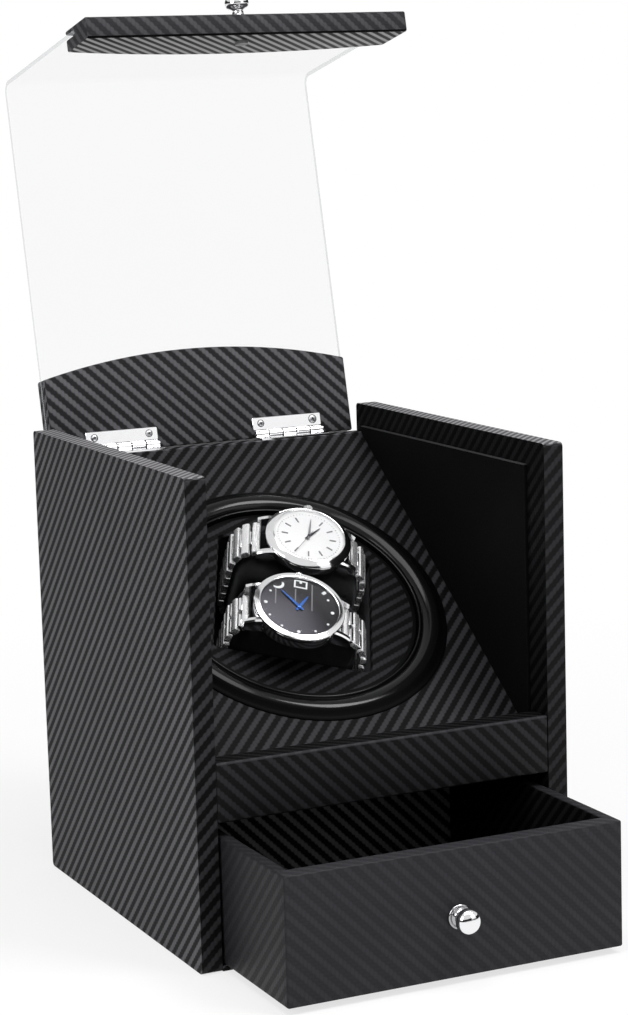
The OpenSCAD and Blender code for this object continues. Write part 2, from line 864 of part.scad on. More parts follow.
module hinge_box_screws() {
    color("silver") in_case() hinge_sites() translate([0, -leaf_screw_u, leaf_t])
        screw(leaf_screw_r, leaf_screw_l, leaf_head_r, leaf_head_t);
}

// ---------------------------------------------------------------- drawer

// The drawer's frame: its front face at y = 0, its underside at z = 0
module in_drawer() {
    in_case() translate([0, drawer_y, drawer_z]) children();
}

module drawer_front() {
    color("#2c2c30") in_drawer() difference() {
        translate([-drawer_w / 2, 0, 0]) cube([drawer_w, front_t, drawer_h]);
        translate([0, -1, knob_z - drawer_z]) rotate([-90, 0, 0])
            cylinder(r = knob_screw_r + glue, h = front_t + 2);
    }
}

module drawer_wall() {
    translate([drawer_w / 2 - wall_t, front_t, 0]) cube([wall_t, drawer_d - front_t, drawer_h]);
}

module drawer_left_wall() {
    color("#26262a") in_drawer() mirror([1, 0, 0]) drawer_wall();
}

module drawer_right_wall() {
    color("#26262a") in_drawer() drawer_wall();
}

module drawer_back_wall() {
    color("#26262a") in_drawer() translate([wall_t - drawer_w / 2, drawer_d - wall_t, 0])
        cube([drawer_w - 2 * wall_t, wall_t, drawer_h]);
}

module drawer_bottom() {
    color("#26262a") in_drawer() translate([wall_t - drawer_w / 2, front_t, 0])
        cube([drawer_w - 2 * wall_t, drawer_d - front_t - wall_t, bottom_t]);
}

module drawer_knob() {
    color("silver") in_drawer() translate([0, 0, knob_z - drawer_z]) rotate([90, 0, 0]) knob();
}

module drawer_knob_screw() {
    color("silver") in_drawer() translate([0, 0, knob_z - drawer_z]) rotate([90, 0, 0])
        knob_screw(front_t);
}

// ---------------------------------------------------------------- cushions and watches

// Side outline of a cushion, along X and up the turntable axis, grown by a margin
module cushion_outline(grow) {
    translate([cush_x, (cush_top + cush_low) / 2])
        round_square(cush_l + 2 * grow, cush_h + 2 * grow, cush_r + grow);
}

// Outline up the turntable axis, extruded across the middle of a cushion
module across(w) {
    translate([0, w / 2, 0]) rotate([90, 0, 0]) linear_extrude(w) children();
}

module cushion() {
    across(cush_w) cushion_outline(0);
}

module upper_cushion() {
    color("#0e0e10") on_turntable() translate([0, cush_y, 0]) cushion();
}

module lower_cushion() {
    color("#0e0e10") on_turntable() translate([0, -cush_y, 0]) cushion();
}

// Frame of a watch: Z out of its dial, -X to its 12 o'clock, +Y to its crown
module on_watch(side, x) {
    on_turntable() translate([x, side * watch_a, 0]) children();
}

module watch_case(r, bezel) {
    crown_hole_r = 0.8;
    lug_y = (band_w + lug_w) / 2 + 0.2;
    difference() {
        union() {
            rotate_extrude() polygon([[0, case_low], [r - case_foot, case_low], [r, case_low + case_foot],
                [r, case_top - bezel * 0.7], [r - bezel * 0.8, case_top], [0, case_top]]);
            for (x = [-1, 1], y = [-1, 1])
                translate([x * (r - lug_l / 4), y * lug_y, case_low + case_t * 0.4])
                cube([lug_l, lug_w, case_t * 0.5], center = true);
        }
        translate([0, 0, dial_z - dial_t]) cylinder(r = r - bezel, h = case_t);
        translate([0, r, case_low + case_t / 2]) rotate([90, 0, 0])
            cylinder(r = crown_hole_r, h = 2, center = true);
    }
}

module watch_dial(r) {
    translate([0, 0, dial_z - dial_t]) cylinder(r = r - glue, h = dial_t);
}

// A hand of a given length and width, turned clockwise from 12, on its level above the dial
module watch_hand(angle, length, width, level) {
    tail = length * 0.15;
    rotate([0, 0, 180 - angle]) translate([-tail, -width / 2, level * hand_t])
        cube([tail + length, width, hand_t]);
}

// Hour hand and minute hand on the post that they turn on
module watch_hands(r, time) {
    translate([0, 0, dial_z]) {
        cylinder(r = 0.9, h = 4 * hand_t);
        watch_hand(time[0], r * 0.5, 1.2, 1);
        watch_hand(time[1], r * 0.75, 0.9, 2.5);
    }
}

module watch_crystal(r) {
    translate([0, 0, case_top - crystal_t + crystal_rise]) cylinder(r = r - glue, h = crystal_t);
}

module watch_crown(r) {
    stem_r = 0.7;
    translate([0, r + 0.1, case_low + case_t / 2]) rotate([-90, 0, 0]) {
        cylinder(r = crown_r, h = crown_l);
        translate([0, 0, -1]) cylinder(r = stem_r, h = 1 + eps);
    }
}

// Closed band round the cushion, open where the case sits in it
module watch_bracelet(r, x) {
    difference() {
        translate([-x, 0, 0]) across(band_w) difference() {
            cushion_outline(band_t);
            cushion_outline(glue);
        }
        translate([0, 0, cush_top - 3]) cylinder(r = r + 0.1, h = 3 * case_t);
    }
}

module light_watch_case() {
    color("silver") on_watch(1, light_x) watch_case(light_r, light_bezel);
}

module light_watch_dial() {
    color("#e8e8ea") on_watch(1, light_x) watch_dial(light_r - light_bezel);
}

module light_watch_hands() {
    color("#303034") on_watch(1, light_x) watch_hands(light_r - light_bezel, light_time);
}

module light_watch_crystal() {
    color([0.85, 0.9, 0.95, 0.4]) on_watch(1, light_x) watch_crystal(light_r - light_bezel);
}

module light_watch_crown() {
    color("silver") on_watch(1, light_x) watch_crown(light_r);
}

module light_watch_bracelet() {
    color("silver") on_watch(1, light_x) watch_bracelet(light_r, light_x);
}

module dark_watch_case() {
    color("silver") on_watch(-1, dark_x) watch_case(dark_r, dark_bezel);
}

module dark_watch_dial() {
    color("#141416") on_watch(-1, dark_x) watch_dial(dark_r - dark_bezel);
}

module dark_watch_hands() {
    color("#3060a0") on_watch(-1, dark_x) watch_hands(dark_r - dark_bezel, dark_time);
}

module dark_watch_crystal() {
    color([0.85, 0.9, 0.95, 0.4]) on_watch(-1, dark_x) watch_crystal(dark_r - dark_bezel);
}

module dark_watch_crown() {
    color("silver") on_watch(-1, dark_x) watch_crown(dark_r);
}

module dark_watch_bracelet() {
    color("silver") on_watch(-1, dark_x) watch_bracelet(dark_r, dark_x);
}

left_side_panel();
right_side_panel();
back_panel();
floor_panel();
drawer_shelf();
front_rail();
display_panel();
side_linings();
trim_ring();
turntable_disc();
watch_cup();
turntable_shaft();
retaining_clip();
shaft_bush();
motor_bridge();
standoffs();
gearbox_case();
drive_screws();
output_gear();
idler_gear();
idler_axle();
motor_pinion();
motor_shaft();
motor();
control_board();
dc_jack();
mode_switch();
mode_knob();
lid_window();
lid_rear_board();
lid_front_bar();
lid_knob();
lid_knob_screw();
hinge_lid_leaves();
hinge_box_leaves();
hinge_pins();
hinge_lid_screws();
hinge_box_screws();
drawer_front();
drawer_left_wall();
drawer_right_wall();
drawer_back_wall();
drawer_bottom();
drawer_knob();
drawer_knob_screw();
upper_cushion();
lower_cushion();
light_watch_case();
light_watch_dial();
light_watch_hands();
light_watch_crystal();
light_watch_crown();
light_watch_bracelet();
dark_watch_case();
dark_watch_dial();
dark_watch_hands();
dark_watch_crystal();
dark_watch_crown();
dark_watch_bracelet();
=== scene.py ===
"""Looks of the watch winder box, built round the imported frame."""
import json
import math

import bmesh
import bpy
from mathutils import Matrix, Vector


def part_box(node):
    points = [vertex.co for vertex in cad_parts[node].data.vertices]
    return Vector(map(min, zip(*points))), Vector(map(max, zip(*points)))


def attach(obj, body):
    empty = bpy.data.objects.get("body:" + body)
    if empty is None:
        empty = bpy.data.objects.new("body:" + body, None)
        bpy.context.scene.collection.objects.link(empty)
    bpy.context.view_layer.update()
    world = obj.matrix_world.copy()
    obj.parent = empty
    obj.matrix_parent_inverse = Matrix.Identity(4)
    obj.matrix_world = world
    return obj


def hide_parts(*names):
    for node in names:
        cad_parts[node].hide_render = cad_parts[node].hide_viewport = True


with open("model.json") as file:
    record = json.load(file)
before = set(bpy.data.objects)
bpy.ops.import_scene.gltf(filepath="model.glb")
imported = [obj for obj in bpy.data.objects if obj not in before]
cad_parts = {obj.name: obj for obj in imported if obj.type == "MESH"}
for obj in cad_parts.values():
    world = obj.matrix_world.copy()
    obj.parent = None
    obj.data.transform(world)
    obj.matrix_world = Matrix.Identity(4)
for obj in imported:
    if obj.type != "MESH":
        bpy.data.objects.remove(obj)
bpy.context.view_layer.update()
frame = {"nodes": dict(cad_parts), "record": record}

MM = 0.001
NODES = frame["nodes"]
JOINTS = {j["name"]: j for j in frame["record"]["behaviour"]["joints"]}
X, Y, Z = Vector((1, 0, 0)), Vector((0, 1, 0)), Vector((0, 0, 1))

# -------------------- sizes, in millimetres

# Covering: the width of one woven band, and the side linings with the grey strip along their tops
# that is a painted highlight
TOW = 1.75
LINING_T = 1.5
EDGE_HIGHLIGHT_OUT = 0.3
# Display panel and its trim ring
PANEL_T = 5.0
HOLE_R = 60.6
RING_IN = 59.0
RING_OUT = 71.5
RING_H = 3.6
SLEEVE_L = 4.9
# Turntable: its turn at rest, its disc, and the cup under its square recess
TURN = math.radians(-22.3)
DISC_R = 58.4
DISC_T = 3.0
RECESS = 73.0
RECESS_DEPTH = 34.0
CUP_WALL = 2.0
# Lid, from the hinge line: the pane runs up (u) and stands out (v), the bar crosses its far end
PANE_T = 2.0
PANE_BEND = 5.0
PANE_START = 10.0
PANE_V = 6.5
PANE_L = 179.5
PANE_IN_BAR = 12.0
SLOT_PLAY = 0.05
BOARD_T = 9.6
BOARD_START = -1.8
BOARD_L = 37.0
BAR_DROP = 109.8
BAR_H = 26.5
BAR_FRONT = 3.0
ARCH_RISE = 10.2
KNOB_FROM_BAR_END = 12.3
# Hinges
HINGE_L = 37.0
HINGE_X = 43.8
HINGE_GAP = 2.1
LEAF_W = 8.3
LEAF_T = 1.0
LEAF_SCREW_X = 14.1
LEAF_SCREW_U = 5.4
KNUCKLES = 5
KNUCKLE_GAP = 0.3
# Mode knob
MODE_KNOB_L = 9.0
SPINDLE_R = 1.5
GROOVE_DEPTH = 0.8
# Cushions
CUSHION_L = 60.0
CUSHION_W = 36.0
CUSHION_X = 0.6
CUSHION_Y = 18.15
CUSHION_TOP = 12.0
CUSHION_LOW = -30.9
CUSHION_R = 11.0
# Watches
BAND_T = 2.8
BAND_W = 20.0
CASE_LOW = 12.7
CASE_T = 9.0
DIAL_DEPTH = 1.6
WATCH_A = 23.8


def span(node):
    """Lowest and highest corner of a CAD node in millimetres."""
    lo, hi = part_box(node)
    return Vector(lo) / MM, Vector(hi) / MM


def axes(x, y, z, origin):
    """A 4x4 frame from three directions and an origin in millimetres."""
    m = Matrix.Identity(4)
    for i, column in enumerate((x, y, z, origin)):
        for row in range(3):
            m[row][i] = column[row]
    return m


# Local frames: the case, the sloped panel, the turntable and the open lid
CASE = Matrix.Identity(4)
spin = JOINTS["turntable_spin"]
SLOPE_N = Vector(spin["axis"]).normalized()
SLOPE_UP = SLOPE_N.cross(X)
SLOPE = axes(X, SLOPE_UP, SLOPE_N, Vector(spin["pos_m"]) / MM)
TABLE = SLOPE @ Matrix.Rotation(TURN, 4, "Z")
hinge = JOINTS["lid_hinge"]
HINGE_AT = Vector(hinge["pos_m"]) / MM
lid_lean = math.radians(max(hinge["range_deg"]) - 90)
LID = axes(X, (0, math.sin(lid_lean), math.cos(lid_lean)),
           (0, -math.cos(lid_lean), math.sin(lid_lean)), HINGE_AT)


# -------------------- shader nodes

class Graph:
    """A small wrapper round a node tree."""

    def __init__(self, tree):
        self.tree = tree

    def feed(self, socket, value):
        if isinstance(value, bpy.types.NodeSocket):
            self.tree.links.new(value, socket)
        elif value is not None:
            socket.default_value = value

    def node(self, kind, *values, **settings):
        """A node with its settings. Values go to its inputs in order; None leaves one as it is."""
        node = self.tree.nodes.new("ShaderNode" + kind)
        for key, value in settings.items():
            setattr(node, key, value)
        for socket, value in zip(node.inputs, values):
            self.feed(socket, value)
        return node

    def math(self, operation, *values):
        return self.node("Math", *values, operation=operation).outputs[0]

    def add(self, a, b):
        return self.math("ADD", a, b)

    def times(self, a, b):
        return self.math("MULTIPLY", a, b)

    def mix(self, factor, a, b, kind="RGBA"):
        """Between two colours, or between two numbers with the kind FLOAT."""
        first, out = {"FLOAT": (2, 0), "RGBA": (6, 2)}[kind]
        node = self.node("Mix", factor, data_type=kind)
        self.feed(node.inputs[first], a)
        self.feed(node.inputs[first + 1], b)
        return node.outputs[out]

    def ramp(self, value, low, high, out_low=0.0, out_high=1.0):
        return self.node("MapRange", value, low, high, out_low, out_high,
                         interpolation_type="SMOOTHSTEP").outputs[0]

    def coords(self, kind="Object", scale=(1, 1, 1), place=CASE):
        """Object or UV coordinates in millimetres, in a local frame, then stretched."""
        inverse = place.inverted()
        local = self.node("Mapping", self.node("TexCoord").outputs[kind], inverse.to_translation(),
                          inverse.to_euler("XYZ"), [1 / MM] * 3)
        return self.node("Mapping", local.outputs[0], None, None, scale).outputs[0]

    def noise(self, vector, scale, detail=3.0, rough=0.5):
        return self.node("TexNoise", vector, None, scale, detail, rough).outputs[0]

    def bump(self, height, distance, strength=1.0, after=None):
        node = self.node("Bump", strength, distance * MM)
        self.feed(node.inputs["Height"], height)
        self.feed(node.inputs["Normal"], after)
        return node.outputs[0]


class Shader(Graph):
    """A material, round its Principled BSDF."""

    def __init__(self, name):
        self.material = bpy.data.materials.new(name)
        self.material.use_nodes = True
        super().__init__(self.material.node_tree)
        self.bsdf = self.tree.nodes["Principled BSDF"]

    def made(self, **values):
        """Feeds the BSDF's inputs by their names, and returns the material."""
        for key, value in values.items():
            self.feed(self.bsdf.inputs[key.replace("_", " ")], value)
        return self.material


def rgb(color, k=1.0):
    """A colour of three values, times a factor, as a socket takes it."""
    return (*(c * k for c in color), 1.0)


# -------------------- materials

def weave(suffix, light, dark, shine=0.08, tow=TOW, steps=0.16):
    """Embossed 2/2 twill leatherette. UV is in metres; stripes run along (1, 1).

    tow is the width of one woven band, and steps how much the twill's steps show."""
    s = Shader("carbon_weave" + suffix)
    place = s.coords("UV")
    u, v = [s.math("DIVIDE", c, tow) for c in s.node("SeparateXYZ", place).outputs[:2]]
    step = s.math("SUBTRACT", s.math("FLOOR", u), s.math("FLOOR", v))
    phase = s.math("FLOORED_MODULO", step, 4.0)
    warp = s.math("LESS_THAN", phase, 1.5)
    # The embossing softens the steps of the twill into a ridge that runs straight
    slant = s.math("SUBTRACT", s.math("SUBTRACT", u, v), 0.5)
    straight = s.add(0.5, s.times(s.math("COSINE", s.times(slant, math.pi / 2)), 0.5))
    ridge = s.ramp(s.add(s.times(warp, steps), s.times(straight, 1 - steps)), 0.25, 0.85)
    # Where a point lies across its band, and along its float of two cells
    across_u, across_v = s.math("FRACT", u), s.math("FRACT", v)
    odd = s.math("FLOORED_MODULO", phase, 2.0)
    along_u = s.times(s.add(across_u, odd), 0.5)
    along_v = s.times(s.add(across_v, s.math("SUBTRACT", 1.0, odd)), 0.5)

    def crown(x, power):
        arch = s.math("SINE", s.times(x, math.pi))
        return s.math("POWER", s.math("MAXIMUM", arch, 0.0), power)

    band = s.mix(warp, s.times(crown(across_v, 0.5), crown(along_u, 0.4)),
                 s.times(crown(across_u, 0.5), crown(along_v, 0.4)), "FLOAT")
    height = s.add(s.times(band, 0.5), s.times(ridge, 0.5))
    # Fine fibres run along each band
    weft, warps = [s.noise(s.node("Mapping", place, None, None, stretch).outputs[0], 1.0, 2.0)
                   for stretch in ((0.35, 5.0, 1.0), (5.0, 0.35, 1.0))]
    threads = s.mix(warp, weft, warps, "FLOAT")
    grain = s.noise(s.coords(), 1.6, 2.0)
    cloud = s.noise(s.coords(), 0.03, 2.0)
    level = s.add(s.times(height, 0.75), s.times(threads, 0.25))
    shade = s.times(level, s.ramp(cloud, 0.3, 0.7, 0.85, 1.15))
    # Painted sheen: the ridges and the crowns of the bands take the light tone, and the gaps take
    # the dark one
    lit = s.mix(shade, rgb(light, 0.55), rgb(light))
    deep = s.mix(shade, rgb(dark, 0.6), rgb(dark))
    ridge_rough, gap_rough = 0.42, 0.55
    return s.made(
        Base_Color=s.mix(ridge, deep, lit),
        Roughness=s.add(s.times(ridge, ridge_rough - gap_rough),
                        s.add(gap_rough, s.times(grain, 0.08))),
        Normal=s.bump(grain, 0.02, 0.4, s.bump(threads, 0.03, 0.5, s.bump(height, 0.12, 0.7))),
        Specular_IOR_Level=shine)


def mottled(name, colors, rough, fine, broad, relief, stretch=(1, 1, 1), place=CASE, **constants):
    """A material whose colour follows a broad noise, and its roughness and bumps a fine one.

    fine and broad are (scale, detail), colors and rough (low, high), relief (depth, strength)."""
    s = Shader(name)
    detail = s.noise(s.coords("Object", stretch, place), *fine)
    return s.made(Base_Color=s.mix(s.noise(s.coords(), *broad), *colors),
                  Roughness=s.ramp(detail, 0.2, 0.8, *rough), Normal=s.bump(detail, *relief),
                  **constants)


def gloss(name, color):
    """Glossy moulded plastic with faint flow marks."""
    s = Shader(name)
    flow = s.noise(s.coords(), 0.05, 2.0)
    fine = s.noise(s.coords(), 2.5, 2.0)
    return s.made(Base_Color=s.mix(flow, rgb(color, 0.8), rgb(color, 1.2)),
                  Roughness=s.ramp(fine, 0.2, 0.8, 0.096, 0.156),
                  Normal=s.bump(flow, 0.15, 0.15), Specular_IOR_Level=0.2)


def plastic(name, color, rough=0.45, shine=0.5):
    """Matt moulded plastic with a fine spark texture."""
    return mottled(name, (rgb(color, 0.85), rgb(color, 1.15)), (rough - 0.07, rough + 0.07),
                   (3.0, 3.0), (0.1, 2.0), (0.03, 0.4), Specular_IOR_Level=shine)


def metal(name, color, rough, stretch=(1, 1, 1), depth=0.01, place=CASE, metallic=1.0):
    """Metal whose roughness and brush marks follow a stretched noise."""
    return mottled(name, (rgb(color, 0.94), rgb(color)), (rough * 0.7, rough * 1.4),
                   (3.0, 3.0), (0.15, 2.0), (depth, 0.5), stretch, place, Metallic=metallic)


def clear(name, tint, weak, strong, shine=0.5):
    """Clear sheet that shows mostly at a shallow angle."""
    s = Shader(name)
    haze = s.noise(s.coords(), 0.5, 4.0)
    facing = s.node("LayerWeight", 0.25).outputs["Facing"]
    return s.made(Base_Color=rgb(tint), Roughness=s.ramp(haze, 0.3, 0.8, 0.03, 0.07),
                  Alpha=s.ramp(facing, 0.2, 1.0, weak, strong), Specular_IOR_Level=shine)


def sunburst(name, inner, outer, rough):
    """Sunburst dial, lighter or darker towards its rim and on the side where it catches light."""
    s = Shader(name)
    place = s.coords("UV")
    x, y = s.node("SeparateXYZ", place).outputs[:2]
    spoke = s.node("CombineXYZ", s.times(s.math("ARCTAN2", y, x), 40.0))
    rays = s.noise(spoke.outputs[0], 1.0, 2.0)
    length = s.node("VectorMath", place, operation="LENGTH").outputs["Value"]
    lean = s.add(s.times(x, 0.55), s.times(y, 0.6))
    color = s.mix(s.ramp(s.add(s.times(length, 0.4), lean), -9.0, 11.0), rgb(inner), rgb(outer))
    return s.made(Base_Color=s.mix(s.times(rays, 0.25), color, rgb(inner, 0.6)),
                  Roughness=s.ramp(rays, 0.2, 0.8, rough * 0.8, rough * 1.2),
                  Normal=s.bump(rays, 0.01, 0.2), Specular_IOR_Level=0.2)


def circuit_board():
    """Green circuit board: a solder mask over copper tracks."""
    s = Shader("circuit_board")
    place = s.coords()
    cells = s.node("TexBrick", place)
    cells.inputs["Scale"].default_value = 0.35
    cells.inputs["Mortar Size"].default_value = 0.03
    return s.made(Base_Color=s.mix(cells.outputs["Fac"], rgb((0.01, 0.09, 0.035)),
                                   rgb((0.03, 0.2, 0.08))),
                  Roughness=s.ramp(s.noise(place, 1.0), 0.2, 0.8, 0.3, 0.45))


# One weave in the tones that the light gives it on each kind of face: (ridges, gaps)
CARBON = weave("", (0.092, 0.09, 0.099), (0.003, 0.003, 0.0035))
CARBON_TOP = weave("_top", (0.27, 0.266, 0.275), (0.09, 0.088, 0.094), tow=1.1)
CARBON_LID = weave("_lid", (0.108, 0.106, 0.115), (0.018, 0.0178, 0.0195))
CARBON_EDGE = weave("_edge", (0.031, 0.0305, 0.0335), (0.003, 0.003, 0.0035))
CARBON_INNER = weave("_inner", (0.01, 0.01, 0.011), (0.002, 0.002, 0.0022), shine=0.05)
CARBON_DEEP = weave("_deep", (0.036, 0.035, 0.039), (0.0015, 0.0015, 0.0018))
CARBON_DISC = weave("_disc", (0.019, 0.0185, 0.021), (0.0012, 0.0012, 0.0014), shine=0.06)
CARBON_RAIL = weave("_rail", (0.023, 0.0225, 0.025), (0.007, 0.007, 0.0078))
CARBON_TRAY = weave("_tray", (0.26, 0.257, 0.265), (0.01, 0.01, 0.0105))
CARBON_FLAT = weave("_flat", (0.022, 0.0215, 0.0245), (0.018, 0.0176, 0.02), shine=0.12)
CARBON_DIM = weave("_dim", (0.0305, 0.03, 0.0345), (0.0265, 0.026, 0.03), shine=0.12)
CARBON_BAR = weave("_bar", (0.058, 0.057, 0.0625), (0.028, 0.0275, 0.0305))
CARBON_FINE = weave("_fine", (0.35, 0.346, 0.35), (0.008, 0.008, 0.0085), tow=1.46, steps=0.0)
# Smooth black lining with a faint calendered grain
LINING = mottled("black_lining", (rgb((0.0022, 0.0022, 0.0024)), rgb((0.0035, 0.0035, 0.0038))),
                 (0.55, 0.7), (1.1, 4.0), (0.04, 2.0), (0.04, 0.4), Specular_IOR_Level=0.06)
# Black short-pile velvet
VELVET = mottled("black_velvet", (rgb((0.002, 0.002, 0.0022)), rgb((0.008, 0.008, 0.0085))),
                 (0.85, 1.0), (5.0, 3.0, 0.7), (0.12, 3.0), (0.12, 0.6), Sheen_Weight=0.25,
                 Sheen_Roughness=0.45, Sheen_Tint=rgb((0.35, 0.35, 0.38)), Specular_IOR_Level=0.1)
GLOSS = gloss("gloss_black", (0.004, 0.004, 0.0043))
# Black plastic. Its black also serves as painted shade on the hinge pins and in the screws'
# countersinks and cross recesses
BLACK = plastic("black_plastic", (0.02, 0.02, 0.021))
# Near-black and matt, with little specular: painted dark reflection and shadow on the trim ring's
# outer slope and flange, a painted shade line on the lid bar's lower edge, and the dark band at the
# turntable disc's rim
DARK_BAND_AND_SHADE = plastic("dark_band_and_painted_shade", (0.0018, 0.0018, 0.002), 0.5, 0.04)
# Grey strip along the tops of the linings: a painted highlight on their top edges
EDGE_HIGHLIGHT = plastic("painted_edge_highlight", (0.035, 0.035, 0.037))
CAP = plastic("grey_cap", (0.13, 0.13, 0.133))
WHITE = plastic("white_plastic", (0.72, 0.7, 0.64))
CHROME = metal("polished_chrome", (0.9, 0.9, 0.91), 0.09, depth=0.004)
# Chrome painted darker for the knob flanges: a painted shade on their reflections
KNOB_FLANGE_SHADE = metal("chrome_painted_darker", (0.42, 0.42, 0.43), 0.12, depth=0.004)
STEEL = metal("plain_steel", (0.62, 0.62, 0.64), 0.3)
BRASS = metal("turned_brass", (0.72, 0.55, 0.27), 0.25)
LINKS = metal("brushed_links", (0.93, 0.93, 0.94), 0.24, (1.0, 0.05, 1.0), 0.02, TABLE, 0.84)
POLISH = metal("polished_steel", (0.94, 0.94, 0.95), 0.1, depth=0.004)
CLEAR = clear("clear_acrylic", (0.16, 0.165, 0.17), 0.035, 0.07, 0.0)
EDGE = clear("acrylic_edge", (0.45, 0.48, 0.5), 0.3, 0.75)
CRYSTAL = clear("watch_crystal", (0.02, 0.02, 0.022), 0.02, 0.35)
WHITE_DIAL = sunburst("white_dial", (0.9, 0.9, 0.9), (0.8, 0.8, 0.81), 0.45)
BLACK_DIAL = sunburst("black_dial", (0.14, 0.134, 0.158), (0.006, 0.006, 0.008), 0.4)
BLUE = metal("blued_steel", (0.08, 0.2, 0.6), 0.25)
INK = plastic("dark_hands", (0.02, 0.02, 0.028), 0.3)
GREY_INK = plastic("grey_markers", (0.2, 0.2, 0.21), 0.35)
LUME = plastic("pale_markers", (0.82, 0.84, 0.85), 0.4)
PCB = circuit_board()


# -------------------- mesh helpers

def rect(x0, x1, y0, y1):
    return [(x0, y0), (x1, y0), (x1, y1), (x0, y1)]


def circle(r, n):
    turns = [2 * math.pi * i / n for i in range(n)]
    return [(r * math.cos(a), r * math.sin(a)) for a in turns]


def fluted(r, depth, per_flute, flutes=24):
    """Outline of a wheel with rounded flutes."""
    n = flutes * per_flute
    radii = [r - depth * (0.5 + 0.5 * math.cos(2 * math.pi * i / per_flute)) for i in range(n)]
    return [(k * x, k * y) for k, (x, y) in zip(radii, circle(1.0, n))]


def arc_points(x, y, r, a0, a1, steps):
    """Points along an arc, in degrees, end points included."""
    turns = [math.radians(a0 + (a1 - a0) * i / steps) for i in range(steps + 1)]
    return [(x + r * math.cos(a), y + r * math.sin(a)) for a in turns]


def rounded_rect(w, h, r, steps=6, middle=(0.0, 0.0)):
    """Points round a rectangle with round corners, counter-clockwise."""
    points = []
    for k, (sx, sy) in enumerate(((1, 1), (-1, 1), (-1, -1), (1, -1))):
        points += arc_points(middle[0] + sx * (w / 2 - r), middle[1] + sy * (h / 2 - r), r,
                             90 * k, 90 * k + 90, steps)
    return points


def skin(bm, rings, closed=False, number=0):
    """Joins rings of as many points each into a capped or closed surface of one material."""
    rows = [[bm.verts.new(p) for p in ring] for ring in rings]
    faces = []
    for a, b in list(zip(rows, rows[1:])) + ([(rows[-1], rows[0])] if closed else []):
        for i in range(len(a)):
            j = (i + 1) % len(a)
            faces.append((a[i], a[j], b[j], b[i]))
    if not closed:
        faces += [rows[0][::-1], rows[-1]]
    for corners in faces:
        bm.faces.new(corners).material_index = number


def stack(bm, levels, place=CASE, closed=False, number=0):
    """Joins outlines in XY, each with its height, into a surface."""
    rings = [[place @ Vector((x, y, z)) for x, y in outline] for outline, z in levels]
    skin(bm, rings, closed, number)


def lathe(bm, profile, steps=96, place=CASE, closed=False, number=0):
    """Turns a profile of (radius, height) about Z. It starts and ends on the axis unless closed."""
    stack(bm, [(circle(max(r, 1e-4), steps), z) for r, z in profile], place, closed, number)


def prism(bm, outline, z0, z1, place=CASE, number=0):
    """An outline in XY, pulled from z0 to z1."""
    stack(bm, ((outline, z0), (outline, z1)), place, number=number)


def block(bm, lo, hi):
    """A box between two corners."""
    prism(bm, rect(lo[0], hi[0], lo[1], hi[1]), lo[2], hi[2])


def round_edges(bm, r, segments=3, sharp=None):
    """Rounds the edges of more than 30 degrees, but none of a face that looks along sharp."""
    bm.normal_update()
    edges = [e for e in bm.edges
             if len(e.link_faces) == 2 and e.calc_face_angle(0) > math.radians(30)]
    if sharp is not None:
        edges = [e for e in edges if all(f.normal.dot(sharp) < 0.9 for f in e.link_faces)]
    bmesh.ops.bevel(bm, geom=edges, offset=r, segments=segments, profile=0.5, affect="EDGES",
                    clamp_overlap=True)


def mark(bm, test):
    """Gives a piece's second material to the faces whose middle passes a test."""
    for face in bm.faces:
        if test(face.calc_center_median()):
            face.material_index = 1


def project(bm, lean):
    """UV in metres by each face's main direction. lean flips which way the stripes run."""
    layer = bm.loops.layers.uv.new("UVMap")
    bm.normal_update()
    for face in bm.faces:
        n = [abs(c) for c in face.normal]
        axis = n.index(max(n))
        first, second = ((1, 2), (0, 2), (0, 1))[axis]
        for loop in face.loops:
            co = loop.vert.co
            loop[layer].uv = (lean[axis] * co[first] * MM, co[second] * MM)


def make_object(name, data):
    """A new object in the scene, from a bmesh, a lamp or a camera."""
    if isinstance(data, bmesh.types.BMesh):
        mesh = bpy.data.meshes.new(name)
        data.to_mesh(mesh)
        data.free()
        data = mesh
    obj = bpy.data.objects.new(name, data)
    bpy.context.scene.collection.objects.link(obj)
    return obj


def piece(name, bm, body, material, place=CASE, stands_for=(), lean=(1, 1, 1), smooth=35,
          finishes=(), more=()):
    """Turns a bmesh in millimetres into a scene piece that rides on a body.

    finishes are (direction, material) for the faces that look that way; more are extra materials
    for faces that already carry their number."""
    bmesh.ops.recalc_face_normals(bm, faces=bm.faces)
    project(bm, lean)
    for number, (direction, _) in enumerate(finishes, 1):
        for face in bm.faces:
            if face.normal.dot(direction) > 0.75:
                face.material_index = number
    bm.transform(Matrix.Scale(MM, 4) @ place)
    obj = make_object(name, bm)
    mesh = obj.data
    if place.determinant() < 0:
        mesh.flip_normals()
    for p in mesh.polygons:
        p.use_smooth = True
    mesh.set_sharp_from_angle(angle=math.radians(smooth))
    for finish in [material] + [finish for _, finish in finishes] + list(more):
        mesh.materials.append(finish)
    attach(obj, body)
    if stands_for:
        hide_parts(*stands_for)
    return obj


def dress(material, *nodes, bevel=0.0):
    """Gives CAD nodes a material, and rounds their edges a little."""
    for name in nodes:
        obj = NODES[name]
        obj.data.materials.clear()
        obj.data.materials.append(material)
        if bevel:
            weld = obj.modifiers.new("weld", "WELD")
            weld.merge_threshold = 0.001 * MM
            edge = obj.modifiers.new("edge", "BEVEL")
            edge.width = bevel * MM
            edge.segments = 2
            edge.limit_method = "ANGLE"
            edge.angle_limit = math.radians(40)


def board(name, node, body, bevel, lean=(1, 1, 1), material=CARBON, finishes=(), sharp=None):
    """A wrapped board with rounded edges in the place of a box-shaped CAD node."""
    bm = bmesh.new()
    block(bm, *span(node))
    round_edges(bm, bevel, 4, sharp=sharp)
    piece(name, bm, body, material, CASE, (node,), lean, finishes=finishes)


def freeze(obj):
    """Applies all of a piece's modifiers."""
    depsgraph = bpy.context.evaluated_depsgraph_get()
    mesh = bpy.data.meshes.new_from_object(obj.evaluated_get(depsgraph))
    obj.modifiers.clear()
    obj.data = mesh


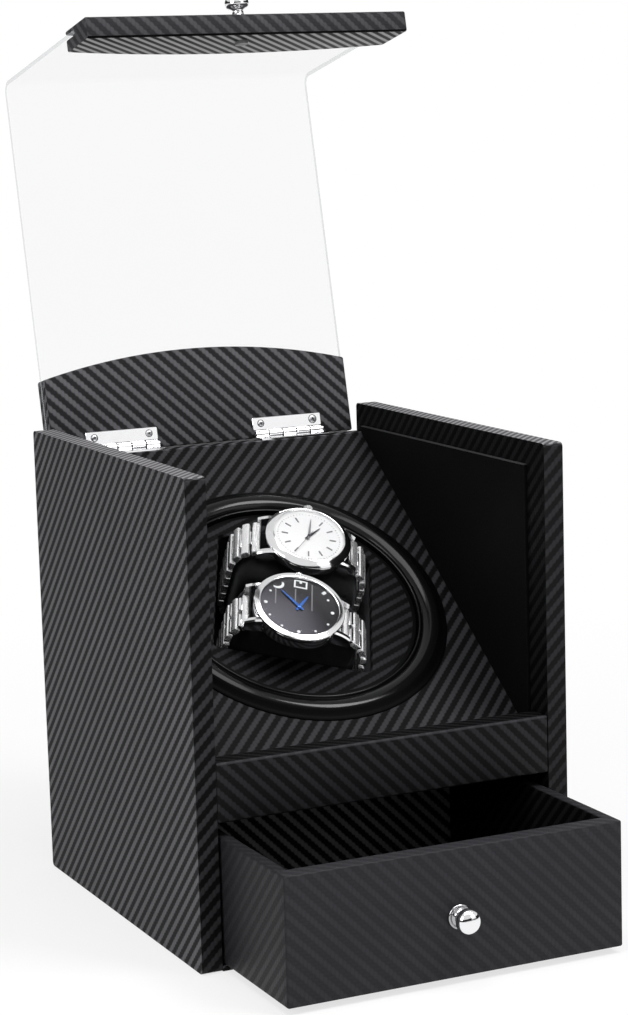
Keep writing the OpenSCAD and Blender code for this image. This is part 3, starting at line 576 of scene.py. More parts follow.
def cut(bm, lo, hi):
    """Cuts a box between two corners out of a closed bmesh, and returns the rest as a new one."""
    bmesh.ops.recalc_face_normals(bm, faces=bm.faces)
    cutter_bm = bmesh.new()
    block(cutter_bm, lo, hi)
    bmesh.ops.recalc_face_normals(cutter_bm, faces=cutter_bm.faces)
    blank, cutter = make_object("blank", bm), make_object("cutter", cutter_bm)
    slot = blank.modifiers.new("slot", "BOOLEAN")
    slot.object = cutter
    slot.solver = "EXACT"
    freeze(blank)
    shaped = bmesh.new()
    shaped.from_mesh(blank.data)
    for obj in (blank, cutter):
        bpy.data.objects.remove(obj)
    return shaped


# -------------------- case

def side_panels():
    """Both side panels, each with slightly rounded outline corners."""
    for side, node, front in ((-1, "left_side_panel", CARBON_EDGE),
                              (1, "right_side_panel", CARBON_RAIL)):
        lo, hi = span(node)
        outline = rounded_rect(hi.y - lo.y, hi.z - lo.z, 2.0, 5,
                               ((lo.y + hi.y) / 2, (lo.z + hi.z) / 2))
        bm = bmesh.new()
        skin(bm, [[Vector((x, y, z)) for y, z in outline] for x in (lo.x, hi.x)])
        piece(node.replace("side_panel", "side"), bm, "case", CARBON, CASE, (node,), (-1, 1, 1),
              finishes=((-Y, front), (-side * X, CARBON_INNER), (Z, CARBON_TOP)))


def case_boards():
    board("rear_wall", "back_panel", "case", 0.8, (1, -1, 1))
    board("base_board", "floor_panel", "case", 0.6)
    board("front_crossbar", "front_rail", "case", 1.0, (1, -1, -1), CARBON_RAIL,
          ((Z, CARBON_INNER), (0.707 * (Z - Y), CARBON_DIM)))
    dress(CARBON_DIM, "drawer_shelf", bevel=0.5)
    dress(LINING, "side_linings", bevel=0.25)
    # A narrow grey strip along the top of each lining: a painted highlight on its top edge
    lo, hi = span("side_linings")
    bm = bmesh.new()
    for side in (-1, 1):
        x0, x1 = sorted((side * hi.x, side * (hi.x - LINING_T - EDGE_HIGHLIGHT_OUT)))
        block(bm, (x0, lo.y + 0.3, hi.z - 0.05), (x1, hi.y - 0.3, hi.z + 0.4))
    round_edges(bm, 0.15, 2)
    piece("lining_edge_highlight", bm, "case", EDGE_HIGHLIGHT, CASE)


def display_board():
    """The sloped panel, with its round opening under the trim ring."""
    n = 128
    lo, hi = span("display_panel")
    half = hi.x
    y0, y1 = [(y - SLOPE.translation.y) / SLOPE_UP.y for y in (lo.y, hi.y)]
    hole = circle(HOLE_R, n)
    # The outer edge follows the hole's spokes out to the rectangle
    edge = []
    for x, y in hole:
        k = min(half / max(abs(x), 1e-6), (y1 if y > 0 else -y0) / max(abs(y), 1e-6))
        edge.append((x * k, y * k))
    for corner in rect(-half, half, y0, y1):
        near = min(range(n), key=lambda i: math.dist(edge[i], corner))
        edge[near] = corner
    # The panel's two ends are cut upright, so its underside lies further back by the slope
    back = PANEL_T * SLOPE_N.y / SLOPE_UP.y
    under = [(x, y + back if min(abs(y - y0), abs(y - y1)) < 1e-3 else y) for x, y in edge]
    bm = bmesh.new()
    stack(bm, [(hole, 0), (edge, 0), (under, -PANEL_T), (hole, -PANEL_T)], closed=True)
    piece("display_board", bm, "case", CARBON_DEEP, SLOPE, ("display_panel",))


def ring():
    """Glossy half-round trim ring with a sleeve that locates it in the panel."""
    # A thin bead at the inner edge, a round crest, and a slope to the outside that ends in a thin
    # flange. Slope and flange are near-black and matt: a painted dark reflection on the slope, and
    # a painted shadow of the ring on the panel along the flange
    crest, flange, sleeve = RING_IN + 6.5, RING_OUT + 1.4, HOLE_R - 0.1
    profile = arc_points(RING_IN + 0.55, 1.3, 0.55, 180, 10, 8)
    profile += [(HOLE_R, 0.7)] + arc_points(crest, -2.4, RING_H + 2.4, 140, 52, 24)
    profile += [(RING_OUT - 1.5, 1.7), (RING_OUT - 0.7, 1.2), (RING_OUT, 0.8),
                (RING_OUT + 1.2, 0.6), (flange, 0.3), (flange, 0), (sleeve, 0),
                (sleeve, -SLEEVE_L), (RING_IN, -SLEEVE_L)]
    bm = bmesh.new()
    lathe(bm, profile, 160, closed=True)
    # Painted shade: the slope and the flange beyond the crest take the near-black matt material
    mark(bm, lambda p: p.to_2d().length > crest + 2.3)
    piece("glossy_ring", bm, "case", GLOSS, SLOPE, ("trim_ring",), smooth=50, more=(DARK_BAND_AND_SHADE,))


# -------------------- turntable

def square(half, corner, n):
    """Points at even angles round a square with rounded corners."""
    m = half - corner
    points = []
    for c, d in circle(1.0, n):
        k = half / max(abs(c), abs(d))
        if k * min(abs(c), abs(d)) > m:
            b = m * (abs(c) + abs(d))
            k = b + math.sqrt(b * b - 2 * m * m + corner * corner)
        points.append((c * k, d * k))
    return points


def turntable():
    """Weave-covered disc with a square hole, over a felt-lined cup."""
    n = 360
    corner, e, trim = 2.0, 0.6, 2.0
    hole = square(RECESS / 2, corner, n)
    lip = square(RECESS / 2 + e, corner + e, n)
    bm = bmesh.new()
    stack(bm, [(hole, -DISC_T), (hole, -e), (lip, 0), (circle(DISC_R - trim, n), 0),
               (circle(DISC_R - e, n), -0.05), (circle(DISC_R - 0.3 * e, n), -0.3 * e),
               (circle(DISC_R, n), -e), (circle(DISC_R, n), -DISC_T)], closed=True)
    mark(bm, lambda p: p.to_2d().length > DISC_R - trim + 0.1)
    piece("turntable_top", bm, "turntable", CARBON_DISC, TABLE, ("turntable_disc",),
          more=(DARK_BAND_AND_SHADE,))
    # The cup: up its outside, over its rim and down its inside, as (width, corner radius, height)
    outer, inner = RECESS + 2 * CUP_WALL, RECESS - 0.02
    low, foot = -RECESS_DEPTH, -RECESS_DEPTH - CUP_WALL
    cup = bmesh.new()
    stack(cup, [(rounded_rect(w, w, r), z) for w, r, z in (
        (outer - 3, 2.0, foot), (outer, 2.5, foot + 1.5), (outer, 2.5, -DISC_T),
        (inner, 2.0, -DISC_T), (inner, 2.0, low + 1.5), (RECESS - 3, 1.0, low))])
    # Its boss on the shaft
    lathe(cup, [(0, foot - 5), (8.2, foot - 5), (9, foot - 4.2), (9, foot + 0.5),
                (0, foot + 0.5)], 48)
    piece("felt_cup", cup, "turntable", VELVET, TABLE, ("watch_cup",))
    dress(STEEL, "turntable_shaft", "retaining_clip", bevel=0.1)
    dress(WHITE, "output_gear", "idler_gear", bevel=0.12)


def settle(obj, cap):
    """Inflates a padded piece by up to cap with Blender's cloth, then applies it."""
    scene = bpy.context.scene
    cloth = obj.modifiers.new("cloth", "CLOTH")
    cloth.settings.use_pressure = True
    cloth.settings.uniform_pressure_force = 4.0
    cloth.settings.effector_weights.gravity = 0
    cloth.settings.quality = 5
    for f in range(1, 21):
        scene.frame_set(f)
    depsgraph = bpy.context.evaluated_depsgraph_get()
    after = [v.co.copy() for v in obj.evaluated_get(depsgraph).data.vertices]
    obj.modifiers.remove(cloth)
    scene.frame_set(1)
    for v, place in zip(obj.data.vertices, after):
        move = place - v.co
        v.co += move * min(1.0, cap * MM / max(move.length, 1e-9))


def cushion(name, node, body, side):
    """Velvet cushion: a crowned roll that is held in at its middle by the bracelet."""
    inset = 1.6
    height = CUSHION_TOP - CUSHION_LOW
    middle = (CUSHION_TOP + CUSHION_LOW) / 2
    outline = rounded_rect(CUSHION_L - 2 * inset, height - 2 * inset, CUSHION_R - inset, 8,
                           (CUSHION_X, middle))
    width = CUSHION_W - 2 * inset
    rings = []
    for i in range(13):
        t = -1 + 2 * i / 12
        tuck = 2.2 * abs(t) ** 6
        points = []
        for x, z in outline:
            dx, dz = x - CUSHION_X, z - middle
            k = 1 - tuck / math.hypot(dx, dz)
            points.append((CUSHION_X + dx * k, side * CUSHION_Y + t * width / 2, middle + dz * k))
        rings.append(points)
    bm = bmesh.new()
    skin(bm, rings)
    obj = piece(name, bm, body, VELVET, TABLE, (node,), smooth=180)
    remesh = obj.modifiers.new("remesh", "REMESH")
    remesh.mode = "VOXEL"
    remesh.voxel_size = 2.2 * MM
    freeze(obj)
    settle(obj, 1.3)
    shape_cushion(obj, side)
    smooth = obj.modifiers.new("smooth", "SUBSURF")
    smooth.levels = smooth.render_levels = 1
    freeze(obj)


def shape_cushion(obj, side):
    """Holds the cushion inside its solid, and flat under the bracelet."""
    to_local = (Matrix.Scale(MM, 4) @ TABLE).inverted()
    back = to_local.inverted()
    long, wide = CUSHION_L / 2 - 0.2, CUSHION_W / 2 - 0.05
    for v in obj.data.vertices:
        p = to_local @ v.co
        y = p.y - side * WATCH_A
        under_band = max(0.0, 1 - max(0.0, abs(y) - BAND_W / 2) / 2.0)
        top = CUSHION_TOP + 0.7 - 1.0 * under_band
        p.z = max(CUSHION_LOW + 0.1, min(top, p.z))
        p.x = CUSHION_X + max(-long, min(long, p.x - CUSHION_X))
        p.y = side * CUSHION_Y + max(-wide, min(wide, p.y - side * CUSHION_Y))
        v.co = back @ p
    for polygon in obj.data.polygons:
        polygon.use_smooth = True


# -------------------- lid

def lid_board(name, node, place, w, length, start, back, slot_v, slot_start, lean, material,
              finishes=()):
    """A board with one arched end and a slot for the window, from its start up.

    back is the height of its lower face, slot_v the slot's own, slot_start the slot's end."""
    r = (w * w / 4 + ARCH_RISE * ARCH_RISE) / (2 * ARCH_RISE)
    arch = math.degrees(math.asin(w / 2 / r))
    outline = [(-w / 2, start), (w / 2, start)]
    outline += arc_points(0, start + length + ARCH_RISE - r, r, 90 - arch, 90 + arch, 48)
    half = PANE_T / 2 + SLOT_PLAY
    bm = bmesh.new()
    prism(bm, outline, back, back + BOARD_T)
    bm = cut(bm, (-w, slot_start - SLOT_PLAY, slot_v - half), (w, 60, slot_v + half))
    round_edges(bm, 0.9)
    piece(name, bm, "lid", material, place, (node,), lean, finishes=finishes)


def lid():
    """Rear board, bent window, front bar and knob."""
    lo, hi = span("lid_window")
    w = hi.x - lo.x
    lid_board("lid_hinge_board", "lid_rear_board", LID, w, BOARD_L, BOARD_START,
              -HINGE_GAP - BOARD_T, -PANE_V, PANE_START, (1, 1, -1), CARBON_LID)
    # The bar stands across the pane's far end: its frame has X across, Y from its foot up, Z inward
    # The rounded edge between the bar's outer face and its foot is near-black: a painted shade line
    lid_board("lid_grip_bar", "lid_front_bar", LID @ axes(X, -Z, Y, (0, PANE_L, BAR_DROP)), w,
              BAR_H, 0, BAR_FRONT - BOARD_T, 0, BAR_H - PANE_IN_BAR, (1, -1, 1), CARBON_BAR,
              ((-Z, CARBON_FINE), (-0.707 * (Y + Z), DARK_BAND_AND_SHADE)))
    window(w)
    knob("lid_pull", "lid_knob", "lid",
         LID @ axes(X, -Z, Y, (0, PANE_L + BAR_FRONT, BAR_DROP - KNOB_FROM_BAR_END)))
    dress(CAP, "lid_knob_screw", bevel=0.1)


def window(w):
    """The bent clear sheet, its two side edges a little frosted."""
    end = BAR_DROP - BAR_H + PANE_IN_BAR

    def path(offset):
        return [(PANE_START, PANE_V + offset),
                *arc_points(PANE_L - PANE_BEND, PANE_V - PANE_BEND, PANE_BEND + offset, 90, 0, 10),
                (PANE_L + offset, -end)]

    section = [(u, -v) for u, v in path(PANE_T / 2) + path(-PANE_T / 2)[::-1]]
    bm = bmesh.new()
    skin(bm, [[Vector((x, u, z)) for u, z in section] for x in (-w / 2, w / 2)])
    mark(bm, lambda p: abs(p.x) > w / 2 - 0.01)
    piece("clear_window", bm, "lid", CLEAR, LID, ("lid_window",), smooth=40, more=(EDGE,))


def knob(name, node, body, place):
    """Chrome mushroom knob on a small flange."""
    flange = [(0, 0), (5.1, 0), (5.5, 0.3), (5.5, 0.6), (5.25, 1.05), (4.8, 1.3), (4.35, 1.2),
              (4.0, 0.95), (3.6, 1.15), (3.1, 1.7), (2.75, 2.4), (2.6, 3.6)]
    head = [(2.7, 4.8), (3.4, 5.5), (4.7, 6.0), (5.25, 6.4), (5.5, 7.1), (5.5, 8.2), (5.3, 9.2),
            (4.8, 10.2), (3.9, 11.0), (2.7, 11.6), (1.3, 11.92), (0, 12.0)]
    bm = bmesh.new()
    lathe(bm, flange + head, 64)
    # The flange takes the chrome painted darker, a painted shade on its reflections
    mark(bm, lambda p: p.z < 4.0)
    piece(name, bm, body, CHROME, place, (node,), smooth=60, more=(KNOB_FLANGE_SHADE,))


def hinges():
    """Two five-knuckle hinges: rounded leaves, turned knuckles, pins and screws."""
    box = axes(X, -Y, -Z, HINGE_AT)
    # The lid's leaf lies on the board's inner face, which is on the lid frame's lower side
    for body, first, place, node in (
            ("case", 0, box @ Matrix.Diagonal((1, 1, -1, 1)), "hinge_box"),
            ("lid", 1, LID, "hinge_lid")):
        leaves, screws = bmesh.new(), bmesh.new()
        for side in (-1, 1):
            leaf(leaves, side * HINGE_X, first)
            for x in (-LEAF_SCREW_X, LEAF_SCREW_X):
                # One head on the lid is a larger one
                large = 1.2 if body == "lid" and side > 0 and x > 0 else 1.0
                screw(screws, (side * HINGE_X + x, LEAF_SCREW_U, -HINGE_GAP + LEAF_T), large)
        piece(node + "_plates", leaves, body, CHROME, place, (node + "_leaves",), smooth=40)
        piece(node + "_screw_heads", screws, body, STEEL, place, (node + "_screws",), smooth=40,
              more=(BLACK,))
    # The pins are black: painted shade in the gaps between the knuckles
    pins = bmesh.new()
    for side in (-1, 1):
        lathe(pins, [(0, 0), (0.6, 0), (0.88, 0.3), (0.88, HINGE_L - 0.3), (0.6, HINGE_L),
                     (0, HINGE_L)], 32, axes(Z, Y, X, (side * HINGE_X - HINGE_L / 2, 0, 0)))
    piece("hinge_rods", pins, "case", BLACK, box, ("hinge_pins",), smooth=40)


def leaf(bm, middle, first):
    """One hinge leaf with its share of the knuckles. The hinge line is the X axis."""
    low, high = -HINGE_GAP, -HINGE_GAP + LEAF_T
    reach, e = 2.15, 0.14

    def outline(inset, r):
        return rounded_rect(HINGE_L - 2 * inset, LEAF_W - reach - 2 * inset, r, 4,
                            (middle, (LEAF_W + reach) / 2))

    full, small = outline(0, 0.7), outline(e, 0.6)
    stack(bm, [(small, low), (full, low + e), (full, high - e), (small, high)])
    pitch = HINGE_L / KNUCKLES
    length = pitch - 2 * KNUCKLE_GAP
    for i in range(first, KNUCKLES, 2):
        x0 = middle - HINGE_L / 2 + i * pitch + KNUCKLE_GAP
        lathe(bm, [(0.9, 0), (1.6, 0), (1.78, 0.18), (1.78, length - 0.18), (1.6, length),
                   (0.9, length)], 40, axes(Z, Y, X, (x0, 0, 0)), closed=True)
        block(bm, (x0, 0.2, low + 0.02), (x0 + length, reach + 0.3, high - 0.02))


def screw(bm, place, large=1.0):
    """Low round head with a cross recess, standing in a countersink on a leaf; recess and
    countersink are black, as painted shade.
    """
    turn = Matrix.Translation(place) @ Matrix.Diagonal((large, large, 1, 1))
    lathe(bm, [(0, -0.6), (1.0, -0.6), (1.0, 0), (1.55, 0), (1.55, 0.2), (1.3, 0.5), (0.9, 0.62),
               (0, 0.64)], 40, turn)
    # Painted shade: a black disc round the head for the countersink, and black bars for the cross
    # recess
    lathe(bm, [(0, -0.1), (1.85, -0.1), (1.85, 0.03), (0, 0.03)], 40, turn, number=1)
    for a in (0.35, 0.35 + math.pi / 2):
        prism(bm, rect(-0.8, 0.8, -0.27, 0.27), 0.5, 0.67, turn @ Matrix.Rotation(a, 4, "Z"), 1)


# -------------------- drawer

def drawer():
    lean = (-1, -1, -1)
    board("drawer_face", "drawer_front", "drawer", 1.0, lean, CARBON_DIM,
          ((-X, CARBON_FLAT), (X, CARBON_FLAT), (Y, CARBON_INNER)), Y)
    for name, node, inside, tone, sharp in (
            ("drawer_side_left", "drawer_left_wall", X, CARBON_TRAY, -Y),
            ("drawer_side_right", "drawer_right_wall", -X, CARBON_INNER, -Y),
            ("drawer_rear", "drawer_back_wall", -Y, CARBON_TRAY, None)):
        board(name, node, "drawer", 1.0, lean, CARBON_FLAT, ((inside, tone),), sharp)
    board("drawer_tray", "drawer_bottom", "drawer", 0.4, lean, CARBON_DEEP)
    lo, hi = span("drawer_knob")
    knob("drawer_pull", "drawer_knob", "drawer",
         axes(X, Z, -Y, ((lo.x + hi.x) / 2, hi.y, (lo.z + hi.z) / 2)))
    dress(STEEL, "drawer_knob_screw", bevel=0.1)


# -------------------- drive and rear fittings

def drive():
    dress(BRASS, "shaft_bush", "standoffs", "motor_pinion", bevel=0.1)
    dress(STEEL, "motor_bridge", "drive_screws", "idler_axle", "motor_shaft", bevel=0.1)
    dress(STEEL, "motor", bevel=0.5)
    dress(BLACK, "gearbox_case", bevel=0.3)
    dress(PCB, "control_board", bevel=0.1)
    dress(BLACK, "dc_jack", "mode_switch", bevel=0.25)


def mode_knob():
    """Fluted selector knob with a pointer groove, on its spindle."""
    lo, hi = span("mode_knob")
    top = hi.y
    foot = top - MODE_KNOB_L
    bm = bmesh.new()
    stack(bm, [(fluted(r, depth, 6), y) for r, y, depth in (
        (5.6, foot, 0), (6.0, foot + 0.4, 0), (6.0, foot + 1.4, 0), (5.9, foot + 1.9, 0.35),
        (5.7, top - 1.0, 0.35), (5.2, top - 0.3, 0.15), (4.4, top, 0))])
    bm = cut(bm, (-0.5, 1.0, top - GROOVE_DEPTH), (0.5, 7.0, top + 1.0))
    lathe(bm, [(0, lo.y), (SPINDLE_R, lo.y), (SPINDLE_R, foot + 0.2), (0, foot + 0.2)], 24)
    piece("selector_knob", bm, "knob", BLACK,
          axes(X, -Z, Y, ((lo.x + hi.x) / 2, 0, (lo.z + hi.z) / 2)), ("mode_knob",), smooth=40)


# -------------------- watches

def clock_frame(angle, z, r=0.0):
    """Frame on the dial at a clock angle, in degrees from 12, and a radius. Y points outward."""
    a = math.radians(angle)
    y = Vector((-math.cos(a), math.sin(a), 0))
    return axes(y.cross(Z), y, Z, (0, 0, z)) @ Matrix.Translation((0, r, 0))


def hand(bm, angle, length, width, z, tail=2.5):
    """A tapering faceted hand."""
    half = [(width * 0.35, -tail), (width / 2, length * 0.15), (width * 0.175, length * 0.9)]
    outline = half + [(0, length)] + [(-x, y) for x, y in half[::-1]]
    prism(bm, outline, 0, 0.18, clock_frame(angle, z))


def hub(bm, z, collar, height):
    """The boss that the hands turn on."""
    high = z + height
    lathe(bm, [(0, z), (0.8, z), (0.8, high - 0.1), (collar, high), (0, high)], 24)


def bar(bm, angle, r0, r1, width, z, height=0.25):
    """A baton marker on the dial."""
    prism(bm, rect(-width / 2, width / 2, r0, r1), 0, height, clock_frame(angle, z))


def dot(bm, place, r, profile):
    """A round marker, from shares of its radius and heights."""
    lathe(bm, [(r * k, z) for k, z in profile], 20, place)


def walk(outline, step):
    """Even steps round a closed outline: (point, direction) pairs."""
    points = [Vector(p) for p in outline + outline[:1]]
    lengths = [(b - a).length for a, b in zip(points, points[1:])]
    total = sum(lengths)
    count = round(total / step)
    out = []
    for k in range(count):
        d = total * k / count
        i = 0
        while d > lengths[i]:
            d -= lengths[i]
            i += 1
        t = (points[i + 1] - points[i]).normalized()
        out.append((points[i] + t * d, t))
    return out


class Watch:
    """A wrist watch on its holder. In its frame Z leaves the dial and 12 o'clock is at -X."""

    def __init__(self, kind, body, side, x, r, bezel, fall):
        """side and x place it on the table, r is its case's radius, fall is from bezel to rim."""
        self.kind, self.body, self.x, self.r, self.fall = kind, body, x, r, fall
        self.place = TABLE @ Matrix.Translation((x, side * WATCH_A, 0))
        self.open_r = r - bezel
        self.top = CASE_LOW + CASE_T
        self.dial_z = self.top - DIAL_DEPTH

    def fit(self, name, bm, material, node, smooth, more=()):
        """Makes a piece in the place of one of the watch's nodes."""
        piece(self.kind + name, bm, self.body, material, self.place, (self.kind + node,),
              smooth=smooth, more=more)

    def build(self, material):
        """All but the markers, the hands and the bracelet."""
        self.shell()
        self.crown()
        self.crystal()
        self.dial(material)

    def shell(self):
        """Case and bezel, and four lugs."""
        r, inner, low, top = self.r, self.open_r, CASE_LOW, self.top
        rim, floor = top - self.fall, self.dial_z - 0.1
        bm = bmesh.new()
        lathe(bm, [(0, low), (r - 4, low), (r - 2.2, low + 0.4), (r - 0.9, low + 1.6),
                   (r - 0.35, low + 2.6), (r - 0.2, rim - 0.75), (r - 0.35, rim - 0.6),
                   (r - 0.35, rim - 0.4), (r, rim - 0.2), (r, rim + 0.1), (r - 0.25, rim + 0.4),
                   (inner + 0.9, top - 0.12), (inner + 0.55, top), (inner + 0.25, top - 0.08),
                   (inner + 0.05, top - 0.4), (inner, top - 0.8), (inner, floor), (0, floor)], 128)
        for sx in (-1, 1):
            for sy in (-1, 1):
                lug(bm, sx, sy, r, rim)
        self.fit("_case_shell", bm, POLISH, "_watch_case", 32)

    def crown(self):
        """Fluted crown on its stem."""
        bm = bmesh.new()
        stack(bm, [(fluted(r, depth, 4), y) for r, y, depth in (
            (1.6, -0.2, 0), (2.1, 0.15, 0), (2.4, 0.35, 0.18), (2.4, 2.2, 0.18), (2.1, 2.5, 0.05),
            (1.4, 2.6, 0))], axes(X, -Z, Y, (0, self.r, CASE_LOW + CASE_T / 2)))
        self.fit("_crown", bm, POLISH, "_watch_crown", 40)

    def crystal(self):
        """Slightly domed crystal."""
        r, top = self.open_r - 0.05, self.top
        bm = bmesh.new()
        lathe(bm, [(0, top - 0.45), (r, top - 0.45), (r, top - 0.1), (r - 0.35, top + 0.12),
                   (r * 0.7, top + 0.24), (r * 0.35, top + 0.29), (0, top + 0.3)])
        self.fit("_crystal", bm, CRYSTAL, "_watch_crystal", 40)

    def dial(self, material):
        """Dial plate with a raised ring for the minute track."""
        r, z = self.open_r - 0.05, self.dial_z
        bm = bmesh.new()
        lathe(bm, [(0, z - 0.8), (r, z - 0.8), (r, z + 0.55), (r - 0.9, z + 0.08), (r - 1.1, z),
                   (0, z)])
        self.fit("_dial_plate", bm, material, "_watch_dial", 25)

    def bracelet(self, reach, columns, pitch):
        """Bracelet round the cushion, from one side of the case to the other.

        columns are (middle, width, material number, height, share of the pitch, shift)."""
        outline = rounded_rect(CUSHION_L + BAND_T, CUSHION_TOP - CUSHION_LOW + BAND_T,
                               CUSHION_R + BAND_T / 2, 16,
                               (CUSHION_X - self.x, (CUSHION_TOP + CUSHION_LOW) / 2))
        step = 0.1
        fine = walk(outline, step)
        top = max(range(len(fine)), key=lambda i: (round(fine[i][0].y, 3), -abs(fine[i][0].x)))
        fine = fine[top:] + fine[:top]
        first = next(i for i, (point, _) in enumerate(fine) if point.x < -reach)
        last = max(i for i, (point, _) in enumerate(fine) if point.x > reach)
        count = round((last - first) * step / pitch)
        half = (last - first) * step / count / 2
        bm = bmesh.new()
        for k in range(count):
            for middle, width, number, height, share, shift in columns:
                at = first + round((k + 0.5 + shift) * (last - first) / count)
                if at <= last:
                    point, t = fine[at]
                    place = axes((t.x, 0, t.y), Y, (t.y, 0, -t.x), (point.x, middle, point.y))
                    link(bm, place, half * share, width, BAND_T / 2 * height, number)
        self.fit("_links", bm, LINKS, "_watch_bracelet", 30, (POLISH,))


def link(bm, place, half, width, height, number):
    """One crowned link, a little lower and narrower at its two sides."""
    low, inset = 0.25, 0.25
    profile = [(x * half, z * height) for x, z in (
        (-1, -1), (-1, 0.5), (-0.75, 0.9), (-0.3, 1.0), (0.3, 1.0), (0.75, 0.9), (1, 0.5), (1, -1))]
    rings = []
    for y, e in ((-width / 2, 1), (-width / 2 + inset, 0), (width / 2 - inset, 0), (width / 2, 1)):
        rings.append([place @ Vector((x * (1 - 0.08 * e), y, z - (low * e if z > 0 else 0)))
                      for x, z in profile])
    skin(bm, rings, number=number)


def lug(bm, sx, sy, r, rim):
    """A curved horn that holds one side of the bracelet's end link."""
    y0 = sy * (BAND_W / 2 + 0.15)
    y1 = sy * (BAND_W / 2 + 2.6)
    start = math.sqrt(r * r - y1 * y1) - 2.5
    rings = []
    for t in (0, 0.2, 0.4, 0.6, 0.8, 1.0):
        x = sx * (start + t * (r + 3.2 - start))
        top = rim - 0.3 - 3.2 * t * t
        bottom = CASE_LOW + 0.8 - 1.2 * t
        rings.append([(x, y0, bottom), (x, y1, bottom + 0.4), (x, y1, top - 0.6),
                      (x, (y0 + y1) / 2 + sy * 0.4, top), (x, y0, top - 0.1)])
    skin(bm, rings)


def light_watch():
    watch = Watch("light", "upper_holder", 1, 2.0, 20.2, 3.7, 2.4)
    body, place, z, r = watch.body, watch.place, watch.dial_z, watch.open_r
    watch.build(WHITE_DIAL)
    marks = bmesh.new()
    for hour in range(12):
        if hour != 3:
            bar(marks, hour * 30, r - 6.6, r - 3.6, 0.65, z)
    for minute in range(60):
        bar(marks, minute * 6, r - 2.1, r - 1.5, 0.16 if minute % 5 else 0.34, z, 0.1)
    piece("light_markers", marks, body, GREY_INK, place)
    hands = bmesh.new()
    hand(hands, 93.8, 11.8, 1.0, z + 0.65)
    hand(hands, 297.5, 15.6, 0.3, z + 0.9, 4.0)
    piece("light_long_hands", hands, body, GREY_INK, place)
    hands = bmesh.new()
    hand(hands, 128.8, 8.4, 1.3, z + 0.35)
    hub(hands, z, 0.55, 1.15)
    watch.fit("_hour_hand", hands, INK, "_watch_hands", 35)
    watch.bracelet(20.8, [(0.0, 20.0, 0, 1.0, 0.76, 0.0), (0.0, 8.5, 1, 0.82, 0.22, 0.5)], 5.0)


def dark_watch():
    watch = Watch("dark", "lower_holder", -1, -2.0, 21.0, 3.0, 0.9)
    body, place, z, r = watch.body, watch.place, watch.dial_z, watch.open_r
    watch.build(BLACK_DIAL)
    marks = bmesh.new()
    for hour in range(12):
        if hour not in (2, 3, 4):
            dot(marks, clock_frame(hour * 30, z, r - 2.6), 0.85 if hour % 3 == 0 else 0.6,
                ((0, 0), (1, 0), (1, 0.15), (0.7, 0.25), (0, 0.25)))
    bar(marks, 134.0, r - 2.6, r - 0.6, 1.5, z)
    # Large date frame that reaches the rim, with its figure as a dot
    line = 0.75
    outer = rect(-3.1, 3.1, r - 5.6, r - 0.6)
    inner = rect(-3.1 + line, 3.1 - line, r - 5.6 + line, r - 0.6 - line)
    stack(marks, [(outer, 0), (outer, 0.2), (inner, 0.2), (inner, 0)], clock_frame(92.0, z), True)
    dot(marks, clock_frame(92.0, z, r - 1.9), 0.65, ((0, 0), (1, 0), (1, 0.12), (0, 0.12)))
    # Crescent beside it
    crescent = arc_points(0, 0, 3.0, 195, 345, 16) + arc_points(0, 0.9, 2.5, 340, 200, 16)
    prism(marks, crescent, 0, 0.2, clock_frame(52.0, z, r - 1.6))
    piece("dark_markers", marks, body, LUME, place)
    lines = bmesh.new()
    for x, y0, y1 in ((-10.9, 0.1, 10.8), (-1.8, 3.0, 11.5), (5.9, -1.0, 15.8)):
        prism(lines, rect(x - 0.28, x + 0.28, y0, y1), z, z + 0.15)
    piece("dark_dial_lines", lines, body, GREY_INK, place)
    hands = bmesh.new()
    hand(hands, 118.0, 8.8, 1.6, z + 0.35)
    hand(hands, 45.8, 12.6, 1.4, z + 0.65)
    hub(hands, z, 0.5, 1.1)
    watch.fit("_hand_set", hands, BLUE, "_watch_hands", 35)
    side_links = [(y, 8.0, 1, 0.9, 0.32, 0.5) for y in (-5.2, 5.2)]
    watch.bracelet(20.2, [(0.0, 20.0, 0, 1.0, 0.62, 0.0)] + side_links, 5.4)


# -------------------- stage, lights and camera

def pale_floor():
    """A pale floor that fades into the white surroundings."""
    s = Shader("pale_floor")
    far = s.node("VectorMath", s.coords(), operation="LENGTH").outputs["Value"]
    path = s.node("LightPath").outputs
    mirrored = s.math("MAXIMUM", path["Is Glossy Ray"], path["Is Transmission Ray"])
    seen = s.math("MAXIMUM", path["Is Camera Ray"], mirrored)
    fade = s.times(seen, s.ramp(far, 150, 700, 0.72, 1.0))
    material = s.made(Base_Color=rgb((0.9, 0.9, 0.9)), Roughness=0.6, Specular_IOR_Level=0.1)
    glow = s.node("Emission", rgb((1, 1, 1)))
    blend = s.node("MixShader", fade, s.bsdf.outputs[0], glow.outputs[0])
    s.feed(s.tree.nodes["Material Output"].inputs[0], blend.outputs[0])
    bm = bmesh.new()
    bmesh.ops.create_circle(bm, cap_ends=True, radius=4.0, segments=96)
    floor = make_object("floor", bm)
    floor.data.materials.append(material)
    floor.location.z = -0.0002


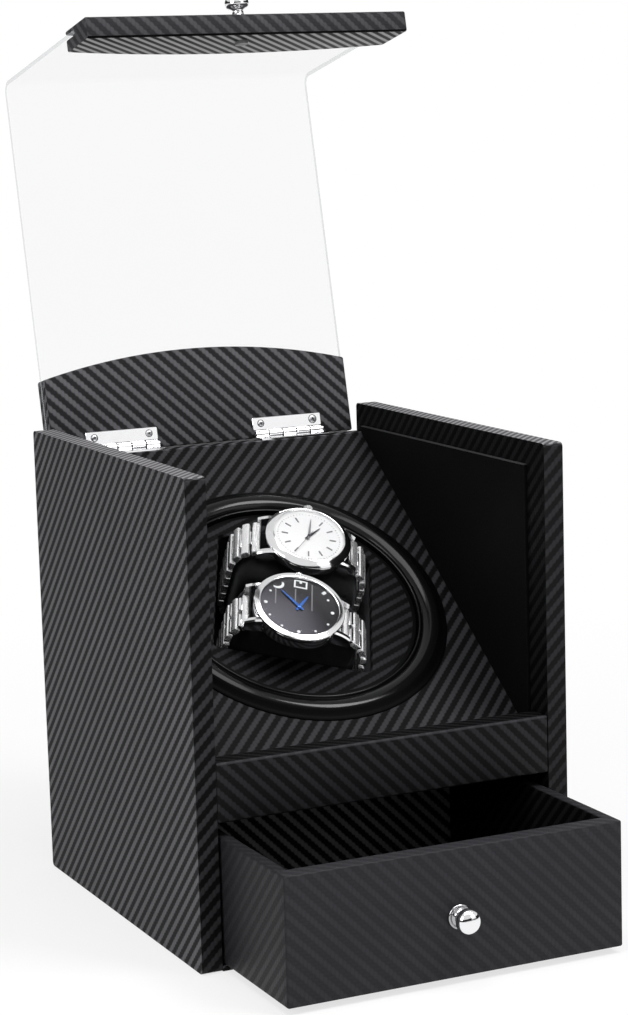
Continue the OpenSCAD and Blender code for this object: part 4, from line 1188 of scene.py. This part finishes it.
def studio():
    """White surroundings. Reflections show a bright backdrop and a dimmer ceiling above it."""
    world = bpy.data.worlds.new("studio")
    world.use_nodes = True
    world.node_tree.nodes.clear()
    g = Graph(world.node_tree)
    height = g.node("SeparateXYZ", g.node("TexCoord").outputs["Generated"]).outputs[2]
    # A low dark gap between the floor sweep and the backdrop draws a line on polished metal
    gap = g.math("COMPARE", height, 0.18, 0.14)
    level = g.times(g.ramp(height, 0.35, 0.85, 1.0, 0.95), g.math("MULTIPLY_ADD", gap, -0.98, 1.0))
    path = g.node("LightPath").outputs
    direct = g.math("MAXIMUM", path["Is Camera Ray"], path["Is Transmission Ray"])
    soft, mirrored, backdrop = [
        g.node("Background", rgb((c, c, c)), strength).outputs[0]
        for c, strength in ((1.0, 0.3), (0.8, level), (1.0, 1.0))]
    lit = g.node("MixShader", path["Is Glossy Ray"], soft, mirrored).outputs[0]
    g.node("OutputWorld", g.node("MixShader", direct, lit, backdrop).outputs[0])
    bpy.context.scene.world = world


def lamps():
    """Soft area lamps that face the part, in metres and watts."""
    aim = Vector((0, 0, 0.15))
    for name, place, size, power in (
            ("key", (-1.5, -0.5, 0.9), (0.9, 0.9), 10), ("fill", (0.9, -1.4, 0.7), (0.9, 0.9), 2.5),
            ("top", (-0.2, -0.3, 1.7), (1.0, 1.0), 14),
            ("strip", (0.58, -0.74, 1.4), (0.52, 0.56), 12.5)):
        data = bpy.data.lights.new(name, "AREA")
        data.shape = "RECTANGLE"
        data.size, data.size_y = size
        data.energy = power
        obj = make_object(name, data)
        obj.location = place
        obj.rotation_euler = (aim - Vector(place)).to_track_quat("-Z", "Y").to_euler()


def camera():
    """The photograph's viewpoint."""
    azimuth = math.radians(-25.07)
    elevation = math.radians(9.21)
    roll = math.radians(-1.67)
    distance = 1225.36
    target = Vector((12.11, 0.0, 178.86))
    back = Vector((math.sin(azimuth) * math.cos(elevation),
                   -math.cos(azimuth) * math.cos(elevation), math.sin(elevation)))
    right = Z.cross(back).normalized()
    place = axes(right, back.cross(right), back, target + back * distance)
    place = place @ Matrix.Rotation(roll, 4, "Z")
    place.translation *= MM
    data = bpy.data.cameras.new("camera")
    data.sensor_fit = "HORIZONTAL"
    data.sensor_width = 36
    data.lens = 152.57
    data.clip_start = 0.05
    obj = make_object("camera", data)
    obj.matrix_world = place
    bpy.context.scene.camera = obj


pale_floor()
studio()
lamps()
camera()
side_panels()
case_boards()
display_board()
ring()
turntable()
cushion("velvet_cushion_upper", "upper_cushion", "upper_holder", 1)
cushion("velvet_cushion_lower", "lower_cushion", "lower_holder", -1)
light_watch()
dark_watch()
lid()
hinges()
drawer()
drive()
mode_knob()
bpy.context.scene.view_settings.view_transform = "Standard"
